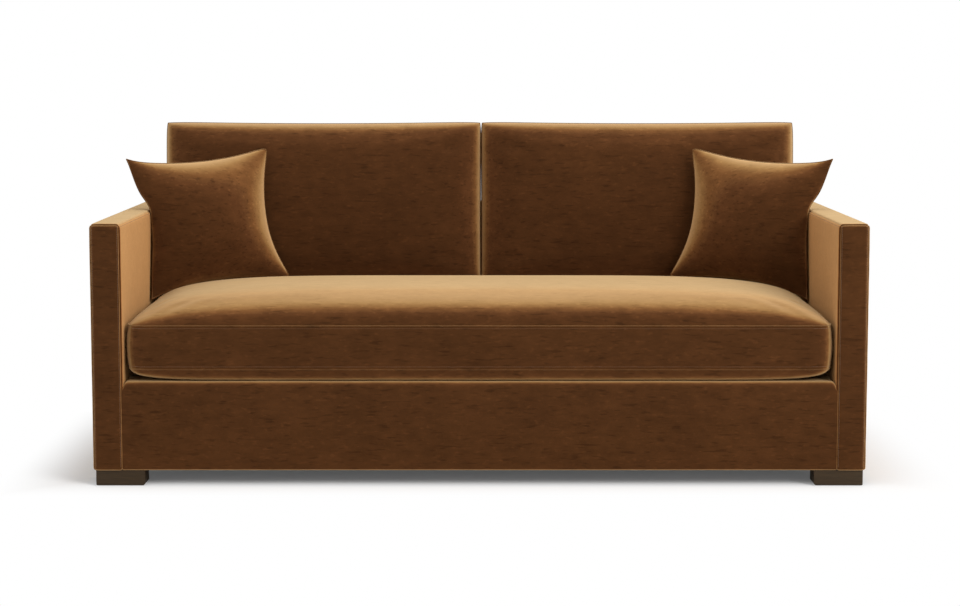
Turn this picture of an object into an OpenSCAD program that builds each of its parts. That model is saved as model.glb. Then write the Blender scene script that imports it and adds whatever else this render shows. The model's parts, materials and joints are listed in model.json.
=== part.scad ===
// Upholstered sofa: two slim arms and a back of one height, a long boxed seat
// cushion, two loose back cushions and two throw pillows on a hardwood frame
// with sinuous springs. Millimetres, +Z up, front towards -Y. The floor is
// z = 0 and the origin lies under the middle of the body. Left is towards -X.

/* [Body] */
// Width over the outsides of both arms
body_w = 1980; // [1700:10:2300]
// Depth from the arm fronts to the outside back
body_d = 980; // [940:10:1080]
// Height of the arms and the back above the floor
arm_h = 674; // [640:2:740]
// Finished thickness of an arm
arm_t = 79; // [76:1:100]
// Finished thickness of the back at its top
back_t = 80; // [76:1:100]
// Lean of the inside back from upright, in degrees
back_rake = 8; // [6:0.5:10]
// Height of the deck that the seat cushion lies on
deck_h = 268; // [262:2:290]
// Radius of the padded edges of the arms and the back
edge_round = 11; // [8:1:14]
// Radius of the padded edges of the front panel
panel_round = 16; // [8:1:20]
// Step from the arm fronts back to the front panel
panel_step = 4; // [1:1:10]

/* [Upholstery] */
// Thickness of the cover cloth with its backing
cover_t = 2; // [1.5:0.25:2.5]
// Thickness of the foam and wadding laid on the frame
pad_t = 12; // [10:1:14]
// Thickness of the hardboard in the arms and the back
board_t = 3; // [2.5:0.5:4]
// Distance of a cover's seam in from the face beside it
seam_in = 3.5; // [3:0.25:5]
// Thickness of the felt pad between springs and deck cover
deck_pad_t = 24.5; // [20:0.5:30]
// Width of the cover's own cloth on the deck behind the front panel
deck_strip = 70; // [55:5:120]
// Thickness of the dust cover under the frame
dust_t = 0.8; // [0.5:0.1:1.5]

/* [Frame] */
// Thickness of the rails, stretchers and uprights
rail_t = 28; // [24:1:32]
// Depth of an arm post, front to back
post_d = 95; // [85:5:110]
// Height of the bottom rail of an arm
arm_rail_h = 90; // [60:5:110]
// Height of the top and middle rails of an arm and the top rail of the back
cap_t = 35; // [28:1:40]
// Height of the stretchers
stretcher_h = 90; // [60:5:110]
// Height of the uprights' feet above the underside of the frame
upright_foot = 56; // [30:2:100]
// Height of the rear spring rail
spring_rail_h = 46; // [36:2:60]
// Legs of the triangular corner blocks
block_leg = 38; // [30:1:38]

/* [Springs] */
// Number of springs on each half of the seat
springs_per_side = 7; // [4:1:7]
// Radius of the spring wire
wire_r = 2; // [1.5:0.25:2.25]
// Length of the straight bars between the loops
bar_l = 18; // [16:1:24]
// Number of bars along a spring
bars = 18; // [12:2:20]
// Wall of a spring clip
clip_t = 1.2; // [0.8:0.1:1.5]
// Length of a clip along the bar that it holds
clip_l = 12; // [8:1:14]

/* [Feet] */
// Height of the body's underside above the floor
foot_h = 43.2; // [36:0.4:60]
// Width of a foot
foot_w = 125; // [110:1:140]
// Depth of a foot, front to back
foot_d = 70; // [62:1:90]
// Distance of a foot in from the arm's outside
foot_in = 6.5; // [3:0.5:10]
// Distance of a foot in from the front or the rear
foot_back = 8; // [4:1:12]
// Radius of a felt glide
glide_r = 12; // [8:1:13]
// Thickness of a felt glide
glide_t = 3; // [2:0.5:4]
// Part of the glide that stands out of the foot
glide_proud = 1; // [0.5:0.25:1.5]

/* [Seat cushion] */
// Gap between the seat cushion and each arm
seat_side_gap = 14; // [6:1:20]
// Gap between the seat cushion and the inside back
seat_back_gap = 4; // [2:1:10]
// Height of the boxing between the two seams
seat_boxing = 112; // [90:1:130]
// Crown of the top above its seam
seat_crown = 80; // [60:1:100]
// Depth of the belly below the lower seam
seat_belly = 33; // [24:1:40]
// Radius of the cushion's corners in plan
seat_corner = 26; // [16:1:40]
// Outward swell of the boxing between its seams
boxing_swell = 3; // [1:0.5:3.5]
// Share of the crown that the back cushions press down
pressed_share = 0.56; // [0.5:0.01:0.7]

/* [Back cushions] */
// Gap between the two back cushions, and beside the arms
back_gap = 4; // [2:0.5:8]
// Height of a back cushion along its lean
back_cushion_h = 478; // [440:2:500]
// Thickness of a back cushion at its belly
back_cushion_t = 190; // [150:2:200]
// Draw of a back cushion's top and lower edges between its corners
back_draw = 7; // [4:0.5:10]
// Draw of a back cushion's side edges, which meet in the middle of the sofa
back_side_draw = 1.5; // [0.5:0.5:4]

/* [Throw pillows] */
// Width of a pillow between its corners
pillow_w = 414; // [360:2:420]
// Height of a pillow between its corners
pillow_h = 378; // [350:2:390]
// Thickness of a pillow at its middle
pillow_t = 146; // [120:2:150]
// Draw of a pillow's top and lower edges between its corners
pillow_draw = 22; // [20:1:32]
// Draw of its inner edge
pillow_inner_draw = 33; // [24:1:40]
// Draw of the edge that lies against the arm
pillow_arm_draw = 45; // [32:1:48]
// Turn of a pillow towards the middle of the sofa, in degrees
pillow_yaw = 27; // [22:1:30]
// Lean of a pillow, in degrees
pillow_lean = 10; // [6:1:12]
// Roll of a pillow, inner end up, in degrees
pillow_roll = 4.8; // [3:0.2:7]

/* [Hidden] */
// Overrun of every cut
over = 1;
// Running clearance between soft pieces and what they rest on
rest_gap = 0.3;
// Gap beside panels that are tucked between the arms
tuck_gap = 2;
// Points in a rounded padded edge
arc_n = 5;
// Step to which the bends of the springs are made
wire_step = 0.01;

half_w = body_w / 2;
half_d = body_d / 2;
front_y = -half_d;
rear_y = half_d;
inner_x = half_w - arm_t;
tuck_x = inner_x - tuck_gap;
skin_rear_y = rear_y - cover_t;
frame_z = foot_h + dust_t;
wood_in = cover_t + pad_t;
lumber_in = wood_in + board_t;

// Arm frame
arm_wood_x0 = inner_x + wood_in;
arm_wood_x1 = half_w - wood_in;
arm_post_y0 = front_y + wood_in;
arm_post_y1 = arm_post_y0 + post_d;
arm_rear_post_y = skin_rear_y - post_d;
arm_wood_z = arm_h - wood_in;
arm_cap_z = arm_wood_z - cap_t;

// Seat box
panel_y = front_y + panel_step;
rail_y0 = panel_y + wood_in;
rail_y1 = rail_y0 + rail_t;
rail_x = tuck_x - wood_in;
side_rail_x = inner_x - rail_t;
back_board_y = skin_rear_y - board_t;
back_rail_y = back_board_y - rail_t;

// Levels of the springs and the deck
clip_r = wire_r + rest_gap + clip_t;
deck_pad_z = deck_h - cover_t - deck_pad_t;
clip_clear = 0.2;
wire_z = deck_pad_z - clip_clear - clip_r;
rail_top = wire_z - wire_r - clip_t - rest_gap;
upright_foot_z = frame_z + upright_foot;

// Front face of the inside back at height z, moved in by "inset" through it
function back_y(z, inset) =
  rear_y - back_t + inset / cos(back_rake) - (arm_h - z) * tan(back_rake);

// Length brought to the step of the springs
function stepped(length) = wire_step * round(length / wire_step);

upright_y = back_y(rail_top, lumber_in);
spring_rail_y = upright_y - rail_t;
deck_rear_y = back_y(deck_pad_z, 0) - rest_gap;

// Places across the seat box
upright_share = [-0.94, -0.5, 0, 0.5, 0.94];
stretcher_share = [-0.333, 0.333];

// Springs
first_bar_y = rail_y0 + rail_t / 2;
loop_r = stepped((upright_y - rail_t / 2 - first_bar_y) / (bars - 1) / 2);
bar_pitch = 2 * loop_r;
last_bar_y = first_bar_y + (bars - 1) * bar_pitch;
spring_pitch = 2 * stepped(side_rail_x / springs_per_side / 2);
tie_share = [0.3, 0.65];

// Bolts that hold the arms to the seat box
arm_bolt_r = 4;
arm_bolt_l = 78;
bolt_fit = 0.3;
bolt_head_r = 9;
bolt_head_t = 4;
arm_bolt_y = [(rail_y1 + arm_post_y1) / 2, (arm_rear_post_y + back_rail_y) / 2];
rail_h = rail_top - frame_z;
bolt_row_share = [0.3, 0.76];
block_share = [0.42, 0.64];

// Bolts that hold the feet
foot_bolt_r = 3;
foot_bolt_l = 74;
foot_head_r = 6;
foot_head_t = 4;
foot_sink = 12;
foot_x1 = half_w - foot_in;
foot_x0 = foot_x1 - foot_w;
foot_y0 = front_y + foot_back;
foot_y1 = foot_y0 + foot_d;
foot_bevel = 4;
foot_bolt_x = [inner_x - rail_t / 2, half_w - arm_t / 2];
foot_bolt_y = rail_y1 + rail_t / 2;
rear_foot_bolt_y = back_rail_y - rail_t / 2;

// Seat cushion
seat_x = inner_x - seat_side_gap;
seat_y0 = panel_y + boxing_swell;
seat_y1 = back_y(deck_h, 0) - seat_back_gap - boxing_swell;
seat_mid_y = (seat_y0 + seat_y1) / 2;
seat_half_d = (seat_y1 - seat_y0) / 2;
seat_z0 = deck_h + rest_gap;
seat_seam_z0 = seat_z0 + seat_belly;
seat_seam_z1 = seat_seam_z0 + seat_boxing;
crown_power = [5.3, 5.3];
belly_power = [12, 40];
// Where the back cushions start to press the crown, and where fully
press_share = [0.24, 0.66];
cloth_in = 2.4;
fill_in = 3.4;
pillow_fill_in = 2.7;
fill_n = [8, 6];
wrap_t = 22;

// Back cushions
cushion_half_w = (inner_x - 1.5 * back_gap) / 2;
cushion_x = inner_x - back_gap - cushion_half_w;
cushion_half = [cushion_half_w, back_cushion_t / 2, back_cushion_h / 2];
cushion_n = [14, 10];
back_power = 5;
knife_in = 9;
// Share of its length, from -1 to 1, at which an edge at +X draws in most
pinch_at = 0.12;
back_draws = [back_side_draw, back_side_draw, back_draw];
back_body = [for (p = cushion_points(cushion_half, back_draws, back_power, cushion_n))
  leaned([p[0], p[1], p[2] + cushion_half[2]])];
// How much nearer the flat fields let a back cushion come to the seat cushion
back_sag = 1.1;
back_rest_y = back_y(seat_seam_z1, 0) - (back_cushion_t / 2 + rest_gap) / cos(back_rake);
cushion_base_z = settle(back_body, [cushion_x, back_rest_y], back_sag);
cushion_base_y = back_rest_y + (cushion_base_z - seat_seam_z1) * tan(back_rake);

// Throw pillows: each slides out to the arm and back to the back cushion, and
// then comes down on the seat cushion
pillow_half = [pillow_w / 2, pillow_t / 2, pillow_h / 2];
pillow_draws = [pillow_arm_draw, pillow_inner_draw, pillow_draw];
pillow_power = 2.3;
pillow_n = [12, 12];
pillow_body = [for (p = cushion_points(pillow_half, pillow_draws, pillow_power, pillow_n)) turned(p)];
// How much nearer the flat fields let a pillow come to the seat cushion, and to
// the arm and the back cushion
pillow_sag = 3.8;
pillow_side_sag = 0.1;
pillow_guess_z = cushion_base_z + pillow_half[2];
pillow_x = pillow_side_sag - rest_gap + min([
  for (p = pillow_body) let (z = p[2] + pillow_guess_z) if (z < arm_h) arm_side_x(z) - p[0]
]);
pillow_y = pillow_side_sag - rest_gap + min([
  for (p = pillow_body) let (
    u = (p[0] + pillow_x - cushion_x) / cushion_half_w,
    rise = (p[2] + pillow_guess_z - cushion_base_z) / cos(back_rake),
    v = rise / cushion_half[2] - 1
  ) if (max(abs(u), abs(v)) < 1) cushion_front_y(u, v, rise) - p[1]
]);
pillow_z = settle(pillow_body, [pillow_x, pillow_y], pillow_sag);

// Zips
zip_t = 1.2;
zip_w = 6;
seam_zip_w = 2;
zip_share = 0.63;

velvet = [0.42, 0.26, 0.14];
lumber = [0.74, 0.6, 0.42];
hardboard = [0.5, 0.36, 0.24];
foam = [0.93, 0.9, 0.8];
wadding = [0.95, 0.95, 0.93];
steel = [0.6, 0.62, 0.64];
walnut = [0.24, 0.16, 0.11];
felt = [0.3, 0.3, 0.3];

// Helpers

// Block between two corners
module slab(x0, x1, y0, y1, z0, z1) {
  translate([x0, y0, z0]) cube([x1 - x0, y1 - y0, z1 - z0]);
}

module on_left() {
  mirror([1, 0, 0]) children();
}

module both_sides() {
  children();
  on_left() children();
}

// Points of an arc around (cx, cy) from angle a0 to angle a1
function arc(cx, cy, r, a0, a1) =
  [for (i = [0 : arc_n]) let (a = a0 + (a1 - a0) * i / arc_n) [cx + r * cos(a), cy + r * sin(a)]];

// Rectangle whose two corners at the far side of the second axis are rounded
function topped(x0, x1, y0, y1, r) = concat(
  [[x0, y0], [x1, y0]],
  arc(x1 - r, y1 - r, r, 0, 90),
  arc(x0 + r, y1 - r, r, 90, 180)
);

// Profile in X and Z drawn along Y from y0 to y1
module along_y(y0, y1) {
  translate([0, y1, 0]) rotate([90, 0, 0]) linear_extrude(y1 - y0) children();
}

// Profile in Y and Z drawn along X from x0 to x1
module along_x(x0, x1) {
  translate([x0, 0, 0]) rotate([90, 0, 90]) linear_extrude(x1 - x0) children();
}

// Box whose top edges and front edges are rounded by padding: three profiles
// cross, one seen from the front, one from above and one from the side
module padded_box(x0, x1, y0, y1, z0, z1, r) {
  intersection() {
    along_y(y0, y1) polygon(topped(x0, x1, z0, z1, r));
    translate([0, 0, z0]) linear_extrude(z1 - z0)
      polygon([for (p = topped(x0, x1, -y1, -y0, r)) [p[0], -p[1]]]);
    along_x(x0, x1) polygon(concat(
      [[y1, z0], [y1, z1]],
      arc(y0 + r, z1 - r, r, 90, 180),
      [[y0, z0]]
    ));
  }
}

// Bar along X with its middle at the height z
module bar_x(x0, x1, y, z, r) {
  translate([x0, y, z]) rotate([0, 90, 0]) cylinder(r = r, h = x1 - x0, $fn = 24);
}

// Everything drilled for the arm bolts of the right arm
module arm_bolt_holes() {
  for (y = arm_bolt_y, share = bolt_row_share) {
    bar_x(side_rail_x - over, side_rail_x + arm_bolt_l + over, y, frame_z + share * rail_h,
      arm_bolt_r + bolt_fit);
  }
}

// Places of the foot bolts, front and rear, on the right
module at_foot_bolts() {
  for (x = foot_bolt_x, y = [foot_bolt_y, rear_foot_bolt_y]) translate([x, y, 0]) children();
}

module foot_bolt_holes() {
  at_foot_bolts() {
    cylinder(r = foot_bolt_r + bolt_fit, h = foot_sink + foot_bolt_l + over, $fn = 24);
    translate([0, 0, -over]) cylinder(r = foot_head_r + bolt_fit, h = foot_sink + over, $fn = 24);
  }
}

// Hardwood frame

module front_rail() {
  color(lumber) slab(-rail_x, rail_x, rail_y0, rail_y1, frame_z, rail_top);
}

module back_rail() {
  color(lumber) slab(-inner_x, inner_x, back_rail_y, back_board_y, frame_z, rail_top);
}

module side_rails() {
  color(lumber) both_sides() difference() {
    slab(side_rail_x, inner_x, rail_y1, back_rail_y, frame_z, rail_top);
    arm_bolt_holes();
    foot_bolt_holes();
  }
}

module spring_rail() {
  color(lumber)
    slab(-side_rail_x, side_rail_x, spring_rail_y, upright_y, rail_top - spring_rail_h, rail_top);
}

module stretchers() {
  color(lumber) for (share = stretcher_share) {
    x = share * side_rail_x;
    slab(x - rail_t / 2, x + rail_t / 2, rail_y1, back_rail_y, frame_z, frame_z + stretcher_h);
  }
}

// Triangular glue blocks in the corners of the seat box
module corner_blocks() {
  z0 = frame_z + block_share[0] * rail_h;
  z1 = frame_z + block_share[1] * rail_h;
  color(lumber) both_sides() for (corner = [[rail_y1, 1], [back_rail_y, -1]]) {
    y = corner[0];
    way = corner[1];
    translate([0, 0, z0]) linear_extrude(z1 - z0)
      polygon([[side_rail_x, y], [side_rail_x - block_leg, y], [side_rail_x, y + way * block_leg]]);
  }
}

module arm_posts() {
  color(lumber) difference() {
    for (y = [arm_post_y0, arm_rear_post_y]) {
      slab(arm_wood_x0 + board_t, arm_wood_x1 - board_t, y, y + post_d, frame_z, arm_cap_z);
    }
    arm_bolt_holes();
    foot_bolt_holes();
  }
}

module arm_rails() {
  x0 = arm_wood_x0 + board_t;
  x1 = arm_wood_x1 - board_t;
  color(lumber) {
    slab(x0, x1, arm_post_y0, skin_rear_y, arm_cap_z, arm_wood_z);
    slab(x0, x1, arm_post_y1, arm_rear_post_y, deck_h - cap_t, deck_h);
    slab(x0, x1, arm_post_y1, arm_rear_post_y, frame_z, frame_z + arm_rail_h);
  }
}

module arm_boards() {
  color(hardboard) difference() {
    for (x = [arm_wood_x0, arm_wood_x1 - board_t]) {
      slab(x, x + board_t, arm_post_y0, skin_rear_y, frame_z, arm_wood_z);
    }
    arm_bolt_holes();
  }
}

// Uprights with a raked front edge, notched over the back rail
module back_uprights() {
  profile = [
    [upright_y, upright_foot_z], [back_rail_y, upright_foot_z], [back_rail_y, rail_top],
    [back_board_y, rail_top], [back_board_y, arm_cap_z],
    [back_y(arm_cap_z, lumber_in), arm_cap_z], [upright_y, rail_top]
  ];
  color(lumber) for (share = upright_share) {
    x = share * (side_rail_x - rail_t / 2);
    along_x(x - rail_t / 2, x + rail_t / 2) polygon(profile);
  }
}

module back_top_rail() {
  color(lumber) along_x(-inner_x, inner_x) polygon([
    [back_y(arm_cap_z, lumber_in), arm_cap_z], [back_board_y, arm_cap_z],
    [back_board_y, arm_wood_z], [back_y(arm_wood_z, lumber_in), arm_wood_z]
  ]);
}

module inside_back_board() {
  color(hardboard) along_x(-tuck_x, tuck_x) polygon([
    [back_y(deck_pad_z, wood_in), deck_pad_z], [back_y(deck_pad_z, lumber_in), deck_pad_z],
    [back_y(arm_wood_z, lumber_in), arm_wood_z], [back_y(arm_wood_z, wood_in), arm_wood_z]
  ]);
}

module outside_back_board() {
  color(hardboard) slab(-inner_x, inner_x, back_board_y, skin_rear_y, frame_z, arm_wood_z);
}

// Springs

// One unbroken wire: straight bars across the seat joined by half loops
module spring(x) {
  for (i = [0 : bars - 1]) {
    bar_x(x - bar_l / 2, x + bar_l / 2, first_bar_y + i * bar_pitch, wire_z, wire_r);
  }
  for (i = [0 : bars - 2]) {
    side = i % 2 == 0 ? 1 : -1;
    translate([x + side * bar_l / 2, first_bar_y + (i + 0.5) * bar_pitch, wire_z])
      rotate([0, 0, -90 * side]) rotate_extrude(angle = 180, $fn = 48)
      translate([loop_r, 0]) circle(r = wire_r, $fn = 24);
  }
}

module seat_springs_right() {
  color(steel) for (k = [0 : springs_per_side - 1]) spring((k + 0.5) * spring_pitch);
}

module seat_springs_left() {
  color(steel) for (k = [0 : springs_per_side - 1]) spring(-(k + 0.5) * spring_pitch);
}

// A clip: a plate on the rail and a curl closed around the spring's last bar
module spring_clips() {
  color(steel) for (k = [0 : 2 * springs_per_side - 1], end = [first_bar_y, last_bar_y]) {
    x = (k + 0.5 - springs_per_side) * spring_pitch;
    difference() {
      union() {
        bar_x(x - clip_l / 2, x + clip_l / 2, end, wire_z, clip_r);
        slab(x - clip_l / 2, x + clip_l / 2, end - 3 * clip_r, end, rail_top, rail_top + clip_t);
      }
      bar_x(x - clip_l / 2 - over, x + clip_l / 2 + over, end, wire_z, wire_r + rest_gap);
    }
  }
}

// Paper-covered wires under the springs, from side rail to side rail
module spring_ties() {
  color(wadding) for (share = tie_share) {
    y = first_bar_y + round(share * (bars - 1)) * bar_pitch;
    bar_x(-side_rail_x, side_rail_x, y, wire_z - 2 * wire_r - rest_gap, wire_r);
  }
}

// Pads and covers of the body

module deck_pad() {
  color(felt) slab(-tuck_x, tuck_x, rail_y1, deck_rear_y, deck_pad_z, deck_h - cover_t);
}

module deck_cover() {
  color(velvet)
    slab(-tuck_x, tuck_x, panel_y + deck_strip, deck_rear_y, deck_h - cover_t, deck_h);
}

// Front panel, moved in on every face by "inset"
module front_form(inset, beyond) {
  padded_box(-tuck_x + inset, tuck_x - inset, panel_y + inset, panel_y + deck_strip + beyond,
    frame_z - beyond, deck_h - inset, panel_round - inset);
}

module front_pad() {
  clip_zone_y = first_bar_y - 3 * clip_r - wire_r;
  color(foam) difference() {
    front_form(cover_t, 0);
    slab(-rail_x, rail_x, rail_y0, rail_y1 + over, frame_z - over, rail_top);
    slab(-inner_x, inner_x, rail_y1, rear_y, frame_z - over, deck_h);
    slab(-rail_x, rail_x, clip_zone_y, rail_y1 + over, frame_z, deck_pad_z);
  }
}

module front_cover() {
  color(velvet) difference() {
    front_form(0, 0);
    front_form(cover_t, over);
    slab(-inner_x, inner_x, rail_y1, rear_y, frame_z - over, deck_h - cover_t);
  }
}

// Right arm, moved in on every face by "inset"
module arm_form(inset, beyond) {
  padded_box(inner_x + inset, half_w - inset, front_y + inset, skin_rear_y + beyond,
    frame_z - beyond, arm_h - inset, edge_round - inset);
}

module arm_skin() {
  difference() {
    arm_form(0, 0);
    arm_form(cover_t, over);
    arm_bolt_holes();
  }
}

module arm_pad() {
  color(foam) difference() {
    arm_form(cover_t, 0);
    slab(arm_wood_x0, arm_wood_x1, arm_post_y0, rear_y, frame_z - over, arm_wood_z);
    arm_bolt_holes();
  }
}

module inside_arm_cover() {
  color(velvet) intersection() {
    arm_skin();
    slab(inner_x, inner_x + seam_in, front_y, rear_y, frame_z, arm_h);
  }
}

module outside_arm_cover() {
  color(velvet) intersection() {
    arm_skin();
    slab(half_w - seam_in, half_w, front_y, rear_y, frame_z, arm_h);
  }
}

module arm_band() {
  color(velvet) intersection() {
    arm_skin();
    slab(inner_x + seam_in, half_w - seam_in, front_y, rear_y, frame_z, arm_h);
  }
}

// Side profile of the back: raked front, rounded top, upright rear
function back_profile(inset, z0) = let (
  r = edge_round - inset,
  cz = arm_h - inset - r,
  cy = back_y(cz, inset) + r / cos(back_rake)
) concat(
  [[skin_rear_y, z0], [skin_rear_y, arm_h - inset]],
  arc(cy, cz, r, 90, 180 - back_rake),
  [[back_y(z0, inset), z0]]
);

module inside_back_pad() {
  color(foam) along_x(-tuck_x, tuck_x) difference() {
    polygon(back_profile(cover_t, deck_pad_z));
    polygon([
      [back_y(deck_pad_z - over, wood_in), deck_pad_z - over],
      [back_y(arm_wood_z, wood_in), arm_wood_z],
      [rear_y, arm_wood_z], [rear_y, deck_pad_z - over]
    ]);
  }
}

module back_skin() {
  along_x(-tuck_x, tuck_x) difference() {
    polygon(back_profile(0, deck_pad_z));
    polygon(back_profile(cover_t, deck_pad_z - over));
    translate([back_y(arm_h, wood_in), deck_pad_z - over])
      square([back_t, arm_h - 2 * wood_in - deck_pad_z]);
  }
}

module inside_back_cover() {
  color(velvet) intersection() {
    back_skin();
    slab(-inner_x, inner_x, front_y, rear_y, deck_pad_z, arm_h - seam_in);
    along_x(-inner_x, inner_x) polygon([
      [front_y, deck_pad_z - over], [back_y(deck_pad_z - over, wood_in), deck_pad_z - over],
      [back_y(arm_h, wood_in), arm_h], [front_y, arm_h]
    ]);
  }
}

module back_top_band() {
  color(velvet) intersection() {
    back_skin();
    slab(-inner_x, inner_x, front_y, rear_y, arm_h - seam_in, arm_h);
  }
}

module outside_back_cover() {
  color(velvet) along_y(skin_rear_y, rear_y)
    polygon(topped(-half_w, half_w, frame_z, arm_h, edge_round));
}

module dust_cover() {
  edge = 4 * cover_t;
  color(felt) difference() {
    slab(-half_w + edge, half_w - edge, front_y + edge + panel_step, rear_y - edge,
      foot_h, frame_z);
    both_sides() foot_bolt_holes();
  }
}

// Feet

// Block foot with bevelled lower edges; y0 and y1 are its front and its rear
module foot_block(y0, y1) {
  color(walnut) difference() {
    intersection() {
      along_y(y0, y1) polygon([
        [foot_x0 + foot_bevel, glide_proud], [foot_x1 - foot_bevel / 2, glide_proud],
        [foot_x1, glide_proud + foot_bevel / 2], [foot_x1, foot_h],
        [foot_x0, foot_h], [foot_x0, glide_proud + foot_bevel]
      ]);
      along_x(foot_x0, foot_x1) polygon([
        [y0 + foot_bevel / 2, glide_proud], [y1 - foot_bevel / 2, glide_proud],
        [y1, glide_proud + foot_bevel / 2], [y1, foot_h],
        [y0, foot_h], [y0, glide_proud + foot_bevel / 2]
      ]);
    }
    foot_bolt_holes();
    translate([(foot_x0 + foot_x1) / 2, (y0 + y1) / 2, -over])
      cylinder(r = glide_r + bolt_fit, h = glide_t + over, $fn = 32);
  }
}

module foot_front() {
  foot_block(foot_y0, foot_y1);
}

module foot_rear() {
  foot_block(-foot_y1, -foot_y0);
}

module foot_bolts() {
  color(steel) both_sides() at_foot_bolts() {
    translate([0, 0, foot_sink]) cylinder(r = foot_bolt_r, h = foot_bolt_l, $fn = 24);
    translate([0, 0, foot_sink - foot_head_t]) cylinder(r = foot_head_r, h = foot_head_t, $fn = 24);
  }
}

module felt_glides() {
  color(felt) both_sides() for (way = [-1, 1]) {
    translate([(foot_x0 + foot_x1) / 2, way * (foot_y0 + foot_y1) / 2, 0])
      cylinder(r = glide_r, h = glide_t, $fn = 32);
  }
}

module arm_bolts() {
  color(steel) both_sides() for (y = arm_bolt_y, share = bolt_row_share) {
    z = frame_z + share * rail_h;
    bar_x(side_rail_x, side_rail_x + arm_bolt_l, y, z, arm_bolt_r);
    bar_x(side_rail_x - bolt_head_t, side_rail_x, y, z, bolt_head_r);
  }
}

// Seat cushion

// Steps from 0 to 1 that crowd towards 1
function crowd(n) = [for (i = [1 : n]) sin(90 * i / n)];

// Pressing of the crown at the depth y, from 0 in front to 1 under the back cushions
function pressed(y) = let (
  s = ((y - seat_mid_y) / seat_half_d - press_share[0]) / (press_share[1] - press_share[0]),
  t = min(max(s, 0), 1)
) t * t * (3 - 2 * t);

// Swell between 0 at the edges and 1 in the middle
function swell(x, y, hx, hy, power) =
  sqrt(max(0, 1 - pow(abs(x) / hx, power[0])) * max(0, 1 - pow(abs(y) / hy, power[1])));

// Height of the seat cushion's top at (x, y)
function seat_top(x, y) = seat_seam_z1 + seat_crown * (1 - pressed_share * pressed(y))
  * swell(x, y - seat_mid_y, seat_x, seat_half_d, crown_power);

// Plan of the seat cushion moved in by "inset": corners are arcs, sides have steps
function seat_plan(inset) = let (
  hx = seat_x - inset,
  hy = seat_half_d - inset,
  r = seat_corner,
  cx = hx - r,
  cy = hy - r,
  long = 9,
  short = 5,
  turn = 3
) concat(
  [for (i = [0 : turn]) [cx + r * sin(90 * i / turn), -cy - r * cos(90 * i / turn)]],
  [for (i = [1 : short - 1]) [hx, -cy + 2 * cy * i / short]],
  [for (i = [0 : turn]) [cx + r * cos(90 * i / turn), cy + r * sin(90 * i / turn)]],
  [for (i = [1 : long - 1]) [cx - 2 * cx * i / long, hy]],
  [for (i = [0 : turn]) [-cx - r * sin(90 * i / turn), cy + r * cos(90 * i / turn)]],
  [for (i = [1 : short - 1]) [-hx, cy - 2 * cy * i / short]],
  [for (i = [0 : turn]) [-cx - r * cos(90 * i / turn), -cy - r * sin(90 * i / turn)]],
  [for (i = [1 : long - 1]) [-cx + 2 * cx * i / long, -hy]]
);

// Rings of the cushion from the middle of its belly up to the middle of its
// crown. A ring is [share of the plan, swell of the boxing, side]: side 0 is the
// belly, 1 the boxing and 2 the crown
function seat_rings(n) = concat(
  [for (t = crowd(n)) [t, 0, 0]],
  [[1, boxing_swell, 1]],
  [for (i = [n - 1 : -1 : 0]) [crowd(n)[i], 0, 2]]
);

function seat_point(p, ring, inset) = let (
  x = p[0] * ring[0],
  y = p[1] * ring[0],
  hx = seat_x - inset,
  hy = seat_half_d - inset,
  out = 1 + ring[1] / hy,
  edge = ring[0] == 1,
  wide = 1 + ring[1] / hx,
  crown = seat_top(x * seat_x / hx, y * seat_half_d / hy + seat_mid_y) - seat_seam_z1,
  belly = seat_belly * swell(x, y, hx, hy, belly_power)
) ring[2] == 1
  ? [x * wide, seat_mid_y + y * out, (seat_seam_z0 + seat_seam_z1) / 2]
  : ring[2] == 0
  ? [x, seat_mid_y + y, seat_seam_z0 + inset - (edge ? 0 : belly)]
  : [x, seat_mid_y + y, seat_seam_z1 - inset + (edge ? 0 : crown)];

// Closed skin over rings of n points each, with a point at each end
function ring_faces(n, rings) = concat(
  [for (i = [0 : n - 1]) [n * rings, (i + 1) % n, i]],
  [for (k = [0 : rings - 2], i = [0 : n - 1]) [k * n + i, k * n + (i + 1) % n, (k + 1) * n + i]],
  [for (k = [0 : rings - 2], i = [0 : n - 1])
    [(k + 1) * n + i, k * n + (i + 1) % n, (k + 1) * n + (i + 1) % n]],
  [for (i = [0 : n - 1]) [n * rings + 1, (rings - 1) * n + i, (rings - 1) * n + (i + 1) % n]]
);

module seat_form(inset) {
  plan = seat_plan(inset);
  rings = seat_rings(6);
  ends = [
    [0, seat_mid_y, seat_seam_z0 + inset - seat_belly],
    [0, seat_mid_y, seat_top(0, seat_mid_y) - inset]
  ];
  points = concat([for (ring = rings, p = plan) seat_point(p, ring, inset)], ends);
  polyhedron(points, [for (f = ring_faces(len(plan), len(rings))) [f[2], f[1], f[0]]]);
}

module seat_core_block(grow) {
  inset = wrap_t + cloth_in - grow;
  slab(-seat_x + inset, seat_x - inset, seat_y0 + inset, seat_y1 - inset,
    seat_seam_z0 + wrap_t / 2 - grow, seat_seam_z1 - wrap_t / 4 + grow);
}

module seat_cover() {
  color(velvet) difference() {
    seat_form(0);
    seat_form(cover_t);
  }
}

module seat_wrap() {
  color(wadding) difference() {
    seat_form(cloth_in);
    seat_core_block(rest_gap);
  }
}

module seat_core() {
  color(foam) seat_core_block(0);
}

// Zip with its slider on the rear boxing
module seat_zip() {
  y = seat_y1 + boxing_swell + rest_gap / 2;
  z = (seat_seam_z0 + seat_seam_z1) / 2;
  x = zip_share * seat_x;
  color(felt) {
    slab(-x, x, y, y + zip_t, z - zip_w / 2, z + zip_w / 2);
    slab(x, x + 2 * zip_w, y, y + 2 * zip_t, z - zip_w, z + zip_w);
  }
}

// Knife-edge cushions

// Height at which a cushion with these points, set at the place [x, y], lies on
// the seat cushion
function settle(points, place, sag) = rest_gap - sag
  + max([for (p = points) seat_top(p[0] + place[0], p[1] + place[1]) - p[2]]);

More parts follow.
